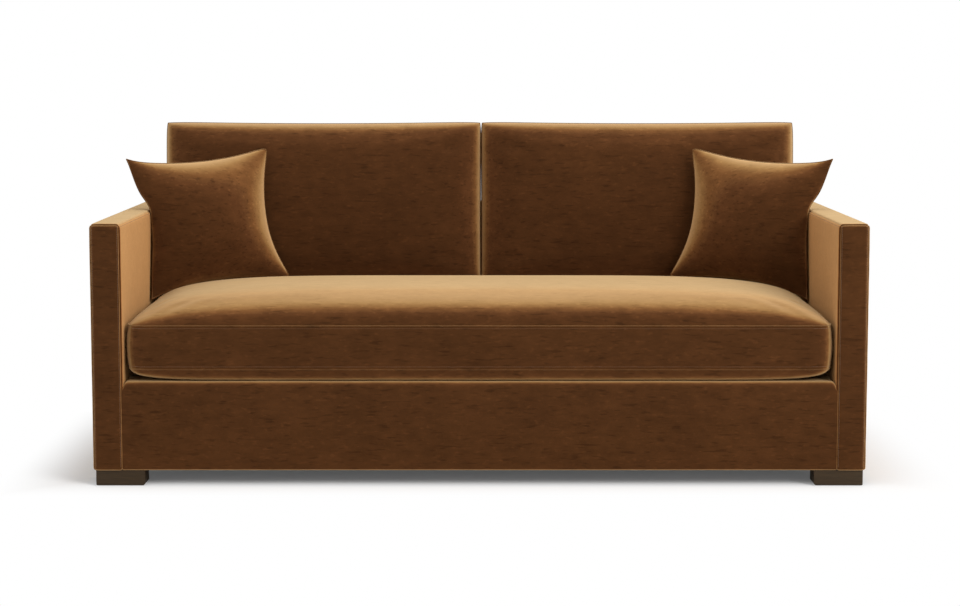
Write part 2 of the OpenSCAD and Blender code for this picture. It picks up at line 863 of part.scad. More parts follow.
// Inside face of the right arm at height z, with its rounded top edge
function arm_side_x(z) = let (rise = max(0, z - arm_h + edge_round))
  inner_x + edge_round - sqrt(edge_round * edge_round - rise * rise);

// Front face of a back cushion at its shares u and v, this high along its lean
function cushion_front_y(u, v, rise) = cushion_base_y + rise * sin(back_rake)
  - cushion_half[1] * plump(u, v, back_power) / cos(back_rake);

// Point leaned back with the inside back
function leaned(p) = [
  p[0],
  p[1] * cos(back_rake) + p[2] * sin(back_rake),
  p[2] * cos(back_rake) - p[1] * sin(back_rake)
];

// Point of a pillow rolled, leaned back and turned, as at_pillow() turns it
function turned(p) = let (
  x = p[0] * cos(pillow_roll) + p[2] * sin(pillow_roll),
  h = p[2] * cos(pillow_roll) - p[0] * sin(pillow_roll),
  y = p[1] * cos(pillow_lean) + h * sin(pillow_lean),
  z = h * cos(pillow_lean) - p[1] * sin(pillow_lean)
) [x * cos(pillow_yaw) + y * sin(pillow_yaw), y * cos(pillow_yaw) - x * sin(pillow_yaw), z];

// Grid shares from -1 to 1 that crowd towards both ends
function crowd_both(n) = [for (i = [0 : n]) sin(180 * i / n - 90)];

// Half of the thickness of a knife-edge cushion, as a share, at (u, v)
function plump(u, v, power) = sqrt(max(0, 1 - pow(abs(u), power)) * max(0, 1 - pow(abs(v), power)));

// Draw of the edge at +X, as a share, at the share v of its length
function pinch(v) = pow(cos(90 * (v - pinch_at) / (v > pinch_at ? 1 - pinch_at : 1 + pinch_at)), 2);

// Point of a knife-edge cushion: edges draw in between the corners, and the
// cloth swells to each side of the seam. The origin is the middle of the
// cushion. half is [half width, half thickness, half height] and draw is
// [draw of the edge at +X, at -X, of the top and lower edges]
function cushion_point(u, v, half, draw, power, side) = [
  u * (half[0] - (u > 0 ? draw[0] * pinch(v) : draw[1] * (1 - v * v))),
  side * half[1] * plump(u, v, power),
  v * (half[2] - draw[2] * (1 - u * u))
];

// Points of both faces, front face first, on a grid of n[0] by n[1] fields
function cushion_points(half, draw, power, n) = [
  for (side = [-1, 1], v = crowd_both(n[1]), u = crowd_both(n[0]))
    cushion_point(u, v, half, draw, power, side)
];

// Closed knife-edge cushion. Each field is cut from its outer to its inner
// corner, so that both halves leave the seam
module cushion_form(half, draw, power, n) {
  nu = n[0];
  nv = n[1];
  side_n = (nu + 1) * (nv + 1);
  // Both faces share the points on the seam
  function at(i, j, side) = let (k = j * (nu + 1) + i)
    (side == 0 || i == 0 || j == 0 || i == nu || j == nv) ? k : side_n + k;
  function field(i, j, side) = let (
    a = at(i, j, side),
    b = at(i + 1, j, side),
    c = at(i + 1, j + 1, side),
    d = at(i, j + 1, side)
  ) (i < nu / 2) == (j < nv / 2) ? [[a, c, b], [a, d, c]] : [[a, d, b], [b, d, c]];
  polyhedron(cushion_points(half, draw, power, n), [
    for (side = [0, 1], j = [0 : nv - 1], i = [0 : nu - 1], f = field(i, j, side))
      side == 0 ? f : [f[2], f[1], f[0]]
  ]);
}

// Closed zip along the lower seam of a knife-edge cushion, in the shade of its faces
module seam_zip(half, draw, power, n) {
  seam = [
    for (u = crowd_both(n[0])) if (abs(u) < zip_share) cushion_point(u, -1, half, draw, power, 1)
  ];
  upper = [for (p = seam) [p[0], p[2] - rest_gap]];
  lower = [for (i = [len(seam) - 1 : -1 : 0]) [seam[i][0], seam[i][2] - rest_gap - seam_zip_w]];
  along_y(-zip_t, zip_t) polygon(concat(upper, lower));
}

// Right back cushion's place: it stands on the seat cushion and leans with the back
module at_back_cushion() {
  translate([cushion_x, cushion_base_y, cushion_base_z]) rotate([-back_rake, 0, 0])
    translate([0, 0, back_cushion_h / 2]) children();
}

// Back cushion with its faces moved in by "inset" and its seam by "seam"
module back_form(inset, seam, n) {
  cushion_form(cushion_half - [seam, inset, seam], back_draws, back_power, n);
}

module back_cushion_cover() {
  color(velvet) at_back_cushion() difference() {
    back_form(0, 0, cushion_n);
    back_form(cover_t, knife_in, cushion_n);
  }
}

module back_cushion_fill() {
  color(wadding) at_back_cushion() back_form(fill_in, 2 * knife_in, fill_n);
}

module back_cushion_zip() {
  color(felt) at_back_cushion() seam_zip(cushion_half, back_draws, back_power, cushion_n);
}

// Right pillow's place, in the corner between the arm and the back cushion
module at_pillow() {
  translate([pillow_x, pillow_y, pillow_z]) rotate([0, 0, -pillow_yaw])
    rotate([-pillow_lean, 0, 0]) rotate([0, pillow_roll, 0]) children();
}

// Pillow with its faces moved in by "inset" and its seam by "seam"
module pillow_form(inset, seam, n) {
  cushion_form(pillow_half - [seam, inset, seam], pillow_draws, pillow_power, n);
}

module pillow_cover() {
  color(velvet) at_pillow() difference() {
    pillow_form(0, 0, pillow_n);
    pillow_form(cover_t, knife_in, pillow_n);
  }
}

module pillow_fill() {
  color(wadding) at_pillow() pillow_form(pillow_fill_in, 2 * knife_in, fill_n);
}

module pillow_zip() {
  color(felt) at_pillow() seam_zip(pillow_half, pillow_draws, pillow_power, pillow_n);
}

front_rail();
back_rail();
side_rails();
spring_rail();
stretchers();
corner_blocks();
on_left() arm_posts();  // arm_posts_left
arm_posts();  // arm_posts_right
on_left() arm_rails();  // arm_rails_left
arm_rails();  // arm_rails_right
on_left() arm_boards();  // arm_boards_left
arm_boards();  // arm_boards_right
back_uprights();
back_top_rail();
inside_back_board();
outside_back_board();
seat_springs_left();
seat_springs_right();
spring_clips();
spring_ties();
deck_pad();
deck_cover();
front_pad();
front_cover();
on_left() arm_pad();  // arm_pad_left
arm_pad();  // arm_pad_right
on_left() inside_arm_cover();  // inside_arm_cover_left
inside_arm_cover();  // inside_arm_cover_right
on_left() outside_arm_cover();  // outside_arm_cover_left
outside_arm_cover();  // outside_arm_cover_right
on_left() arm_band();  // arm_band_left
arm_band();  // arm_band_right
inside_back_pad();
inside_back_cover();
back_top_band();
outside_back_cover();
dust_cover();
on_left() foot_front();  // foot_front_left
foot_front();  // foot_front_right
on_left() foot_rear();  // foot_rear_left
foot_rear();  // foot_rear_right
foot_bolts();
felt_glides();
arm_bolts();
seat_cover();
seat_wrap();
seat_core();
seat_zip();
on_left() back_cushion_cover();  // back_cushion_cover_left
back_cushion_cover();  // back_cushion_cover_right
on_left() back_cushion_fill();  // back_cushion_fill_left
back_cushion_fill();  // back_cushion_fill_right
on_left() back_cushion_zip();  // back_cushion_zip_left
back_cushion_zip();  // back_cushion_zip_right
on_left() pillow_cover();  // pillow_cover_left
pillow_cover();  // pillow_cover_right
on_left() pillow_fill();  // pillow_fill_left
pillow_fill();  // pillow_fill_right
on_left() pillow_zip();  // pillow_zip_left
pillow_zip();  // pillow_zip_right
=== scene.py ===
"""Looks of an upholstered sofa, built around its packed construction.

The construction is loaded as a fixed frame. Every cover, cushion and pillow is
a surface worked out with numpy from the sizes of the frame's nodes, filled out
by a cloth simulation where it is a loose cushion, and dressed in velvet. The
wooden feet, the springs and the inner frame stay as the frame has them and get
their own finishes. All lengths are in metres.
"""

from __future__ import annotations

import json
import logging
import math
from collections.abc import Callable
from dataclasses import dataclass, field
from enum import Enum
from functools import lru_cache

import bpy
import numpy as np
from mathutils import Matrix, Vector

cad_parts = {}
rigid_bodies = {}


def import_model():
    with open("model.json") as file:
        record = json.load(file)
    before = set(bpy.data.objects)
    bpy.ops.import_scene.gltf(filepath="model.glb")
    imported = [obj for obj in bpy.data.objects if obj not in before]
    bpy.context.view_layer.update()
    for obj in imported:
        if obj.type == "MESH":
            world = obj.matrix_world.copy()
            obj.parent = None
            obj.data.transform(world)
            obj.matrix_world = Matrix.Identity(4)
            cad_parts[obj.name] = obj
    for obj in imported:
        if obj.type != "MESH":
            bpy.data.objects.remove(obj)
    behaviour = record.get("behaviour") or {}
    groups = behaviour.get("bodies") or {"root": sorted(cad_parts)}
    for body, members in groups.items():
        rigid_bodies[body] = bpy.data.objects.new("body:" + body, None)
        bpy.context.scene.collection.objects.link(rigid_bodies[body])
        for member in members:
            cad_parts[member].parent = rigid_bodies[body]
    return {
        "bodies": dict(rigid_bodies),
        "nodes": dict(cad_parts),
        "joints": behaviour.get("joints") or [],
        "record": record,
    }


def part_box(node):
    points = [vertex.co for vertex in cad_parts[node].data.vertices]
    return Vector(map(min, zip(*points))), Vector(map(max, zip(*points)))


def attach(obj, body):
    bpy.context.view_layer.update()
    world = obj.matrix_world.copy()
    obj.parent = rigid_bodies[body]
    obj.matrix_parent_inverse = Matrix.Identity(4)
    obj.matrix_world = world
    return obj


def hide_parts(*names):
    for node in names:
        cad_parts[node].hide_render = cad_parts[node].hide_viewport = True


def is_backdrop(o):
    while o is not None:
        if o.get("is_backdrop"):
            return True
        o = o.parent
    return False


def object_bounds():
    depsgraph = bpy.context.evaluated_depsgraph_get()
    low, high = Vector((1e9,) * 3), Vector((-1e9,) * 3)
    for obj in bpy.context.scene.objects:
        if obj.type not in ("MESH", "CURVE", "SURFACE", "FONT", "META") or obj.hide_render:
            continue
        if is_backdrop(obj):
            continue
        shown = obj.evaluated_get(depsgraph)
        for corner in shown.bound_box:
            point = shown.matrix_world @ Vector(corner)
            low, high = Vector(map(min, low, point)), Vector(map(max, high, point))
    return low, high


log = logging.getLogger("sofa")

MM = 0.001
Array = np.ndarray
Colour = tuple[float, float, float]
Point = tuple[float, float, float]

# Stitches of the topstitching
STITCH_LENGTH = 3.6 * MM
STITCH_GAP = 1.1 * MM
THREAD_RADIUS = 0.42 * MM
# Depth and height of the fold where a cover turns under the frame, and how far
# the fold hangs below the frame
HEM = (12 * MM, 5.5 * MM)
HEM_DROP = 4 * MM
# How far the inside back and the back cushions lean back, in degrees
BACK_LEAN = 8


class Side(Enum):
    """The two halves of the sofa, seen from the front."""

    LEFT = -1
    RIGHT = 1

    @property
    def word(self) -> str:
        """Name of the side as nodes and pieces carry it."""
        return self.name.lower()


class Face(Enum):
    """Faces of a box as (axis, end), where end 0 is the low one."""

    LEFT = (0, 0)
    RIGHT = (0, 1)
    FRONT = (1, 0)
    REAR = (1, 1)
    BOTTOM = (2, 0)
    TOP = (2, 1)


# Arrays


def ease(t: Array) -> Array:
    """Smooth step: three t squared less two t cubed, with t held from 0 to 1.

    Args:
        t: Places on the way from 0 to 1.

    Returns:
        Array of the same shape.
    """
    t = np.clip(t, 0.0, 1.0)
    return t * t * (3.0 - 2.0 * t)


def bell(t: Array, width: float) -> Array:
    """Bell curve, one at zero: e to the power of minus (t over width) squared."""
    return np.exp(-((t / width) ** 2))


def crowd(count: int) -> Array:
    """Places from -1 to 1 that crowd towards both ends, as the sine does."""
    return np.sin(np.linspace(-math.pi / 2, math.pi / 2, count))


def unit(v: Array) -> Array:
    """Vectors along the last axis, scaled to length one."""
    return v / np.maximum(np.linalg.norm(v, axis=-1, keepdims=True), 1e-12)


def wander(points: Array, size: float, seed: int, waves: int = 5) -> Array:
    """Soft irregular field: a sum of sines along seeded random directions.

    Args:
        points: Points, with coordinates along the last axis.
        size: Length of the longest wave.
        seed: Seed of the directions and phases.
        waves: Number of sines.

    Returns:
        Values between about -1 and 1, one for each point.
    """
    rng = np.random.default_rng(seed)
    ways = unit(rng.normal(size=(waves, points.shape[-1])))
    rates = 2 * math.pi / size * (1.0 + np.arange(waves) * 0.55)
    phases = rng.uniform(0, 2 * math.pi, waves)
    weights = 1.0 / (1.0 + np.arange(waves))
    total = np.zeros(points.shape[:-1])
    for way, rate, phase, weight in zip(ways, rates, phases, weights):
        total += weight * np.sin(points @ way * rate + phase)
    return total / weights.sum()


def along(points: Array, closed: bool = False) -> Array:
    """Running length of a line of points, from zero at its first point."""
    steps = np.linalg.norm(np.diff(points, axis=0), axis=1)
    if closed:
        steps = np.append(steps, np.linalg.norm(points[0] - points[-1]))
    return np.concatenate([[0.0], np.cumsum(steps)])


def resampled(points: Array, pitch: float, *others: Array) -> list[Array]:
    """A line of points, and arrays that go with it, at even steps of its length.

    Args:
        points: The line, one point a row.
        pitch: Step wanted; the real one divides the length evenly.
        others: Arrays with a row for each point.

    Returns:
        The new points and the new rows of the others.
    """
    run = along(points)
    count = max(2, int(round(run[-1] / pitch)) + 1)
    at = np.linspace(0, run[-1], count)
    return [np.stack([np.interp(at, run, a[:, k]) for k in range(a.shape[1])], axis=1)
            for a in (points, *others)]


@dataclass
class Surface:
    """Points and four-sided faces of a mesh.

    Attributes:
        points: Array of shape (n, 3).
        quads: Array of shape (m, 4); a triangle repeats its last point.
    """

    points: Array
    quads: Array

    @classmethod
    def grid(cls, points: Array, closed_u: bool = False, closed_v: bool = False) -> Surface:
        """Surface over a grid of points.

        Args:
            points: Array of shape (u, v, 3).
            closed_u: Whether the last row joins the first.
            closed_v: Whether the last column joins the first.

        Returns:
            The surface, with one face for each cell of the grid.
        """
        nu, nv = points.shape[:2]
        index = np.arange(nu * nv).reshape(nu, nv)
        if closed_u:
            index = np.concatenate([index, index[:1]], axis=0)
        if closed_v:
            index = np.concatenate([index, index[:, :1]], axis=1)
        quads = np.stack([index[:-1, :-1], index[1:, :-1], index[1:, 1:], index[:-1, 1:]], axis=-1)
        return cls(points.reshape(-1, 3), quads.reshape(-1, 4))

    @classmethod
    def joined(cls, parts: list[Surface], weld: float = 1e-5) -> Surface:
        """One surface out of several.

        Args:
            parts: The surfaces.
            weld: Points that round to the same multiple of this are made one.

        Returns:
            The joined surface.
        """
        starts = np.cumsum([0] + [len(p.points) for p in parts[:-1]])
        points = np.concatenate([p.points for p in parts])
        quads = np.concatenate([p.quads + s for p, s in zip(parts, starts)])
        if weld > 0:
            _, first, same = np.unique(np.round(points / weld).astype(np.int64), axis=0,
                                       return_index=True, return_inverse=True)
            points, quads = points[first], same.reshape(-1)[quads]
        return cls(points, quads)

    def mirrored(self) -> Surface:
        """The surface on the other side of the plane x = 0, still facing outwards."""
        return Surface(self.points * (-1, 1, 1), self.quads[:, ::-1])

    def facing(self, inner: Array) -> Surface:
        """The surface with its faces turned outwards.

        Args:
            inner: Point that the faces turn away from, for most of their area.

        Returns:
            This surface, or one with every face turned round.
        """
        a, b, c = (self.points[self.quads[:, k]] for k in (0, 1, 2))
        d = self.points[self.quads[:, 3]]
        normals = np.cross(c - a, d - b)
        outward = ((a + b + c + d) / 4 - inner) * normals
        return self if outward.sum() >= 0 else Surface(self.points, self.quads[:, ::-1])

    def solid(self) -> Surface:
        """A closed surface with its faces turned outwards, by the sign of its volume."""
        a, b, c, d = (self.points[self.quads[:, k]] for k in range(4))
        volume = (np.cross(a, b) * c).sum() + (np.cross(a, c) * d).sum()
        return self if volume >= 0 else Surface(self.points, self.quads[:, ::-1])

    def object(self, name: str, material: bpy.types.Material) -> bpy.types.Object:
        """Mesh object of the surface, shaded smooth.

        Args:
            name: Name of the object and its mesh.
            material: Its only material.

        Returns:
            The object, linked to the scene.
        """
        mesh = bpy.data.meshes.new(name)
        faces = [tuple(dict.fromkeys(q)) for q in self.quads.tolist()]
        mesh.from_pydata(self.points.tolist(), [], [f for f in faces if len(f) > 2])
        mesh.validate()
        mesh.polygons.foreach_set("use_smooth", np.ones(len(mesh.polygons), bool))
        mesh.materials.append(material)
        made = bpy.data.objects.new(name, mesh)
        bpy.context.scene.collection.objects.link(made)
        return made


def frames_along(line: Array, up: Array, closed: bool = False) -> tuple[Array, Array, Array]:
    """Directions at each point of a line.

    Args:
        line: The line, one point a row.
        up: Rough outward direction at each point.
        closed: Whether the last point joins the first.

    Returns:
        Unit vectors along the line, across it, and outwards, square to each other.
    """
    if closed:
        ahead = unit(np.roll(line, -1, axis=0) - np.roll(line, 1, axis=0))
    else:
        ahead = unit(np.gradient(line, axis=0))
    across = unit(np.cross(ahead, up))
    return ahead, across, np.cross(across, ahead)


def tube(line: Array, up: Array, radius: float | Array, sides: int = 8,
         closed: bool = False) -> Surface:
    """Round tube along a line: a circle of the radius, square to the line at each point.

    Args:
        line: The line, one point a row.
        up: Rough outward direction at each point.
        radius: Radius of the tube, one for all or one for each point.
        sides: Points in a ring.
        closed: Whether the tube closes on itself; otherwise its ends are drawn to a point.

    Returns:
        A closed surface.
    """
    _, across, out = frames_along(line, up, closed)
    turn = np.linspace(0, 2 * math.pi, sides, endpoint=False)
    rings = np.broadcast_to(np.asarray(radius, float), (len(line),)).copy()
    points = line[:, None] + rings[:, None, None] * (
        np.cos(turn)[None, :, None] * across[:, None] + np.sin(turn)[None, :, None] * out[:, None])
    if closed:
        return Surface.grid(points, closed_u=True, closed_v=True).solid()
    caps = [np.repeat(line[k][None, None], sides, axis=1) for k in (0, -1)]
    capped = np.concatenate([caps[0], points, caps[1]])
    return Surface.joined([Surface.grid(capped, closed_v=True)], weld=1e-7).solid()


def stitches(line: Array, up: Array, closed: bool = False) -> Surface:
    """Row of stitches: short round-ended threads that lie along a line.

    Each stitch is a tube of five rings of six points, whose radius follows the
    sine from end to end and whose middle stands proud by half of its radius.

    Args:
        line: The line, one point a row.
        up: Outward direction at each point.
        closed: Whether the row goes all the way round.

    Returns:
        One surface that holds all the stitches.
    """
    if closed:
        line, up = np.concatenate([line, line[:1]]), np.concatenate([up, up[:1]])
    centre, outward = resampled(line, STITCH_LENGTH + STITCH_GAP, up)
    if closed:
        centre, outward = centre[:-1], outward[:-1]
    ahead, across, out = frames_along(centre, outward, closed)
    at = np.linspace(-1, 1, 5)
    round_off = np.sqrt(np.maximum(1 - 0.92 * at**2, 0.02))
    turn = np.linspace(0, 2 * math.pi, 6, endpoint=False)
    spine = (centre[:, None] + at[None, :, None] * (STITCH_LENGTH / 2) * ahead[:, None]
             + ((round_off - 0.5) * THREAD_RADIUS)[None, :, None] * out[:, None])
    rings = THREAD_RADIUS * round_off[None, :, None, None] * (
        np.cos(turn)[None, None, :, None] * across[:, None, None]
        + np.sin(turn)[None, None, :, None] * out[:, None, None])
    points = spine[:, :, None] + rings
    one = Surface.grid(points[0], closed_v=True).quads
    lids = np.array([[0, 1, 2, 3], [0, 3, 4, 5]])
    last = 4 * 6
    one = np.concatenate([one, lids[:, ::-1] + last, lids])
    size = points.shape[1] * points.shape[2]
    quads = (one[None] + (np.arange(len(points)) * size)[:, None, None]).reshape(-1, 4)
    return Surface(points.reshape(-1, 3), quads[:, ::-1]).solid()


# Finishes


class Value:
    """A shader number that adds a Math node for each operator used on it."""

    def __init__(self, graph: Graph, socket: bpy.types.NodeSocket) -> None:
        """Wrap a socket of the graph."""
        self.graph, self.socket = graph, socket

    def __add__(self, other: Value | float) -> Value:
        """Sum of two values."""
        return self.graph.math("ADD", self, other)

    __radd__ = __add__

    def __mul__(self, other: Value | float) -> Value:
        """Product of two values."""
        return self.graph.math("MULTIPLY", self, other)

    __rmul__ = __mul__

    def __sub__(self, other: Value | float) -> Value:
        """Difference of two values."""
        return self.graph.math("SUBTRACT", self, other)

    def __rsub__(self, other: float) -> Value:
        """A number less this value."""
        return self.graph.math("SUBTRACT", other, self)

    def held(self) -> Value:
        """This value, held from 0 to 1."""
        return self.graph.math("MINIMUM", self.graph.math("MAXIMUM", self, 0.0), 1.0)

    def spread(self, low: float, high: float) -> Value:
        """Smooth rise from 0 where this value is low to 1 where it is high."""
        made = self.graph.node("ShaderNodeMapRange", {"interpolation_type": "SMOOTHSTEP"},
                               {"Value": self, "From Min": low, "From Max": high})
        return Value(self.graph, made.outputs["Result"])


class Graph:
    """Node tree of one new material, with one method for every kind of node."""

    def __init__(self, name: str) -> None:
        """Start an empty tree in a new material of this name."""
        self.material = bpy.data.materials.new(name)
        self.material.use_nodes = True
        self.tree = self.material.node_tree
        self.tree.nodes.clear()

    def node(self, kind: str, settings: dict | None = None,
             sockets: dict | None = None) -> bpy.types.Node:
        """Add a node.

        Args:
            kind: Blender's name of the node's type.
            settings: Its own settings by name, set first; "stops" fills a colour ramp
                with a smooth curve through (place, colour) pairs.
            sockets: Values or links of its input sockets, by name or place.

        Returns:
            The new node.
        """
        made = self.tree.nodes.new(kind)
        for name, value in (settings or {}).items():
            if name == "stops":
                made.color_ramp.interpolation = "CARDINAL"
                ramp = made.color_ramp.elements
                while len(ramp) < len(value):
                    ramp.new(0.5)
                for element, (place, colour) in zip(ramp, value):
                    element.position, element.color = place, (*colour, 1.0)
            else:
                setattr(made, name, value)
        for key, value in (sockets or {}).items():
            self.feed(made.inputs[key], value)
        return made

    def feed(self, socket: bpy.types.NodeSocket, value: object) -> None:
        """Link a value into a socket, or set the socket to it.

        Args:
            socket: Input socket.
            value: Value or socket to link, or the number, colour or vector to set.
        """
        if isinstance(value, Value):
            value = value.socket
        if isinstance(value, bpy.types.NodeSocket):
            self.tree.links.new(value, socket)
        elif isinstance(value, tuple) and len(value) == 3 and socket.type == "RGBA":
            socket.default_value = (*value, 1.0)
        else:
            socket.default_value = value

    def math(self, operation: str, a: Value | float, b: Value | float) -> Value:
        """Math node on two values."""
        made = self.node("ShaderNodeMath", {"operation": operation}, {0: a, 1: b})
        return Value(self, made.outputs[0])

    def coordinates(self, scale: Point = (1, 1, 1),
                    turn: Point = (0, 0, 0)) -> bpy.types.NodeSocket:
        """Object coordinates, stretched and turned by a Mapping node."""
        source = self.node("ShaderNodeTexCoord").outputs["Object"]
        return self.node("ShaderNodeMapping", None,
                         {"Vector": source, "Scale": scale, "Rotation": turn}).outputs["Vector"]

    def noise(self, vector: bpy.types.NodeSocket, scale: float, detail: float = 3.0,
              rough: float = 0.55) -> Value:
        """Noise texture over a vector, from 0 to 1 with its middle at one half."""
        made = self.node("ShaderNodeTexNoise", None, {"Vector": vector, "Scale": scale,
                                                      "Detail": detail, "Roughness": rough})
        return Value(self, made.outputs["Fac"])

    def mix(self, share: Value | float, a: object, b: object,
            blend: str = "MIX") -> bpy.types.NodeSocket:
        """Mix of two colours."""
        made = self.node("ShaderNodeMix", {"data_type": "RGBA", "blend_type": blend},
                         {0: share, 6: a, 7: b})
        return made.outputs[2]

    def plain(self, colour: Colour) -> bpy.types.NodeSocket:
        """One colour as a socket."""
        made = self.node("ShaderNodeRGB").outputs[0]
        made.default_value = (*colour, 1.0)
        return made

    def scaled(self, colour: object, by: Value) -> bpy.types.NodeSocket:
        """Colour made lighter or darker by a value."""
        if isinstance(colour, tuple):
            colour = self.plain(colour)
        made = self.node("ShaderNodeVectorMath", {"operation": "SCALE"}, {0: colour, "Scale": by})
        return made.outputs[0]

    def bump(self, height: Value, distance: float, strength: float = 1.0) -> bpy.types.NodeSocket:
        """Normal bent by a height."""
        return self.node("ShaderNodeBump", None, {"Height": height, "Distance": distance,
                                                  "Strength": strength}).outputs["Normal"]

    def finish(self, sockets: dict) -> bpy.types.Material:
        """Close the tree with a Principled surface that has these sockets."""
        surface = self.node("ShaderNodeBsdfPrincipled", None, sockets)
        self.node("ShaderNodeOutputMaterial", None, {"Surface": surface.outputs[0]})
        return self.material


@dataclass(frozen=True)
class Velvet:
    """Short dense pile that is dark seen along the yarns and light seen across them.

    Attributes:
        name: Name of the material.
        tones: Colours of the pile as (facing, colour) pairs, where facing is 0 for
            a look straight into the pile and 1 for a grazing one.
        laid: Painted light and shade: how much lighter the pile is made
        on slopes that face up, and darker on those that face down, as light from
        above falls on them.
        tint: Colour that the tones are multiplied by.
        turn: Turn of the pattern, so that pieces don't repeat each other.
    """

    name: str = "velvet"
    tones: tuple[tuple[float, Colour], ...] = (
        (0.00, (0.0640, 0.0244, 0.0076)), (0.13, (0.0830, 0.0318, 0.0104)),
        (0.225, (0.116, 0.0470, 0.0160)), (0.354, (0.204, 0.0940, 0.0320)),
        (0.49, (0.342, 0.192, 0.0740)), (0.638, (0.458, 0.279, 0.127)),
        (0.78, (0.550, 0.346, 0.163)), (0.95, (0.588, 0.414, 0.218)))
    laid: float = 0.0
    tint: Colour = (1.0, 1.0, 1.0)
    turn: float = 0.0

    @lru_cache(maxsize=None)
    def material(self) -> bpy.types.Material:
        """Build the material once."""
        g = Graph(self.name)
        combed = g.coordinates((1.0, 5.0, 6.0), (0, 0, self.turn))
        wavy = g.coordinates((1.0, 1.9, 2.2), (0.2, 0.1, self.turn))
        even = g.coordinates((1.0, 1.0, 1.0), (0.3, 0.5, self.turn))
        dark = g.noise(combed, 27.0, 1.0, 0.5).spread(0.57, 0.74)
        light = g.noise(wavy, 58.0, 1.0, 0.5).spread(0.58, 0.78)
        crush = g.noise(wavy, 21.0, 4.0, 0.68) - 0.5
        brushed = g.noise(even, 6.0, 3.0, 0.6) - 0.5
        pile = g.noise(even, 620.0, 2.0, 0.7) - 0.5
        facing = Value(g, g.node("ShaderNodeLayerWeight", None, {"Blend": 0.5}).outputs["Facing"])
        # Painted light and shade: slopes that face up are made lighter and those that face down
        # darker, by the height of the normal
        if self.laid:
            normal = g.node("ShaderNodeNewGeometry").outputs["Normal"]
            rise = Value(g, g.node("ShaderNodeSeparateXYZ", None, {0: normal}).outputs["Z"])
            facing = facing + rise * self.laid
        # Crushed places show most on a look straight into the pile
        seen = 1.0 - 0.72 * facing.spread(0.15, 0.7)
        mottle = (crush * 0.95 + brushed * 0.6 + light * 0.28 - dark * 0.32) * seen
        turned = (facing + mottle * 0.07 + pile * 0.02).held()
        ramp = g.node("ShaderNodeValToRGB", {"stops": self.tones}, {"Fac": turned})
        tone = g.mix(1.0, ramp.outputs["Color"], self.tint, "MULTIPLY")
        colour = g.scaled(tone, 1.0 + mottle * 0.75 + pile * 0.18)
        height = pile * 0.5 + crush * 0.8
        return g.finish({
            "Base Color": colour, "Roughness": 0.92, "Specular IOR Level": 0.05,
            "Sheen Weight": 0.04, "Sheen Roughness": 0.5, "Sheen Tint": (0.9, 0.5, 0.22),
            "Normal": g.bump(height, 0.5 * MM, 0.45)})


@dataclass(frozen=True)
class Wood:
    """Sawn or stained wood with its grain along X."""

    name: str
    light: Colour
    dark: Colour
    roughness: float = 0.5
    grain: float = 30.0
    stretch: float = 14.0
    coat: float = 0.0

    @lru_cache(maxsize=None)
    def material(self) -> bpy.types.Material:
        """Build the material once: streaks, growth bands and pores."""
        g = Graph(self.name)
        long = g.coordinates((1.0, self.stretch, self.stretch))
        streak = g.noise(long, self.grain, 5.0, 0.6)
        band = g.noise(long, self.grain * 0.25, 2.0, 0.5)
        fine = g.coordinates((1.0, 45.0, 45.0))
        pores = g.noise(fine, self.grain * 2.2, 2.0, 0.5).spread(0.60, 0.72)
        share = (streak * 0.65 + band * 0.5 - 0.08).held()
        colour = g.mix(share, self.dark, self.light)
        colour = g.mix(pores * 0.45, colour, self.dark)
        return g.finish({
            "Base Color": colour, "Roughness": self.roughness - 0.1 * streak + 0.1 * pores,
            "Specular IOR Level": 0.22, "Coat Weight": self.coat, "Coat Roughness": 0.35,
            "Normal": g.bump(streak * 0.4 - pores * 0.6, 0.25 * MM, 0.6)})


@dataclass(frozen=True)
class Fibre:
    """Felt, foam, wadding or paper: a matt stuff with a random grain."""

    name: str
    colour: Colour
    scale: float = 240.0
    depth: float = 0.4 * MM
    contrast: float = 0.35
    roughness: float = 0.95

    @lru_cache(maxsize=None)
    def material(self) -> bpy.types.Material:
        """Build the material once: lighter and darker fibres over a rough ground."""
        g = Graph(self.name)
        fibres = g.noise(g.coordinates((1, 1, 1)), self.scale, 4.0, 0.7)
        clouds = g.noise(g.coordinates((1, 1, 1), (0.4, 0.1, 0.7)), 9.0, 2.0, 0.5)
        shade = 1.0 + (fibres - 0.5) * self.contrast * 2 + (clouds - 0.5) * self.contrast
        return g.finish({"Base Color": g.scaled(self.colour, shade), "Roughness": self.roughness,
                         "Specular IOR Level": 0.2,
                         "Normal": g.bump(fibres, self.depth, 0.8)})


@dataclass(frozen=True)
class Metal:
    """Drawn wire or plated steel with faint scratches along its length."""

    name: str
    colour: Colour
    roughness: float = 0.35

    @lru_cache(maxsize=None)
    def material(self) -> bpy.types.Material:
        """Build the material once: scratches and a dull film."""
        g = Graph(self.name)
        lines = g.noise(g.coordinates((1.0, 30.0, 30.0)), 60.0, 3.0, 0.6)
        film = g.noise(g.coordinates((1, 1, 1)), 40.0, 3.0, 0.6)
        return g.finish({"Base Color": g.scaled(self.colour, 0.85 + film * 0.3), "Metallic": 1.0,
                         "Roughness": self.roughness + 0.25 * (film - 0.5) + 0.1 * lines,
                         "Normal": g.bump(lines, 0.05 * MM, 0.4)})


@dataclass(frozen=True)
class Thread:
    """Polyester sewing thread with a faint twist."""

    name: str = "thread"
    colour: Colour = (0.170, 0.085, 0.036)

    @lru_cache(maxsize=None)
    def material(self) -> bpy.types.Material:
        """Build the material once: fine light and dark plies."""
        g = Graph(self.name)
        ply = g.noise(g.coordinates((1, 1, 1)), 2400.0, 1.0, 0.5)
        return g.finish({"Base Color": g.scaled(self.colour, 0.8 + ply * 0.4), "Roughness": 0.55,
                         "Sheen Weight": 0.3, "Normal": g.bump(ply, 0.1 * MM, 0.5)})


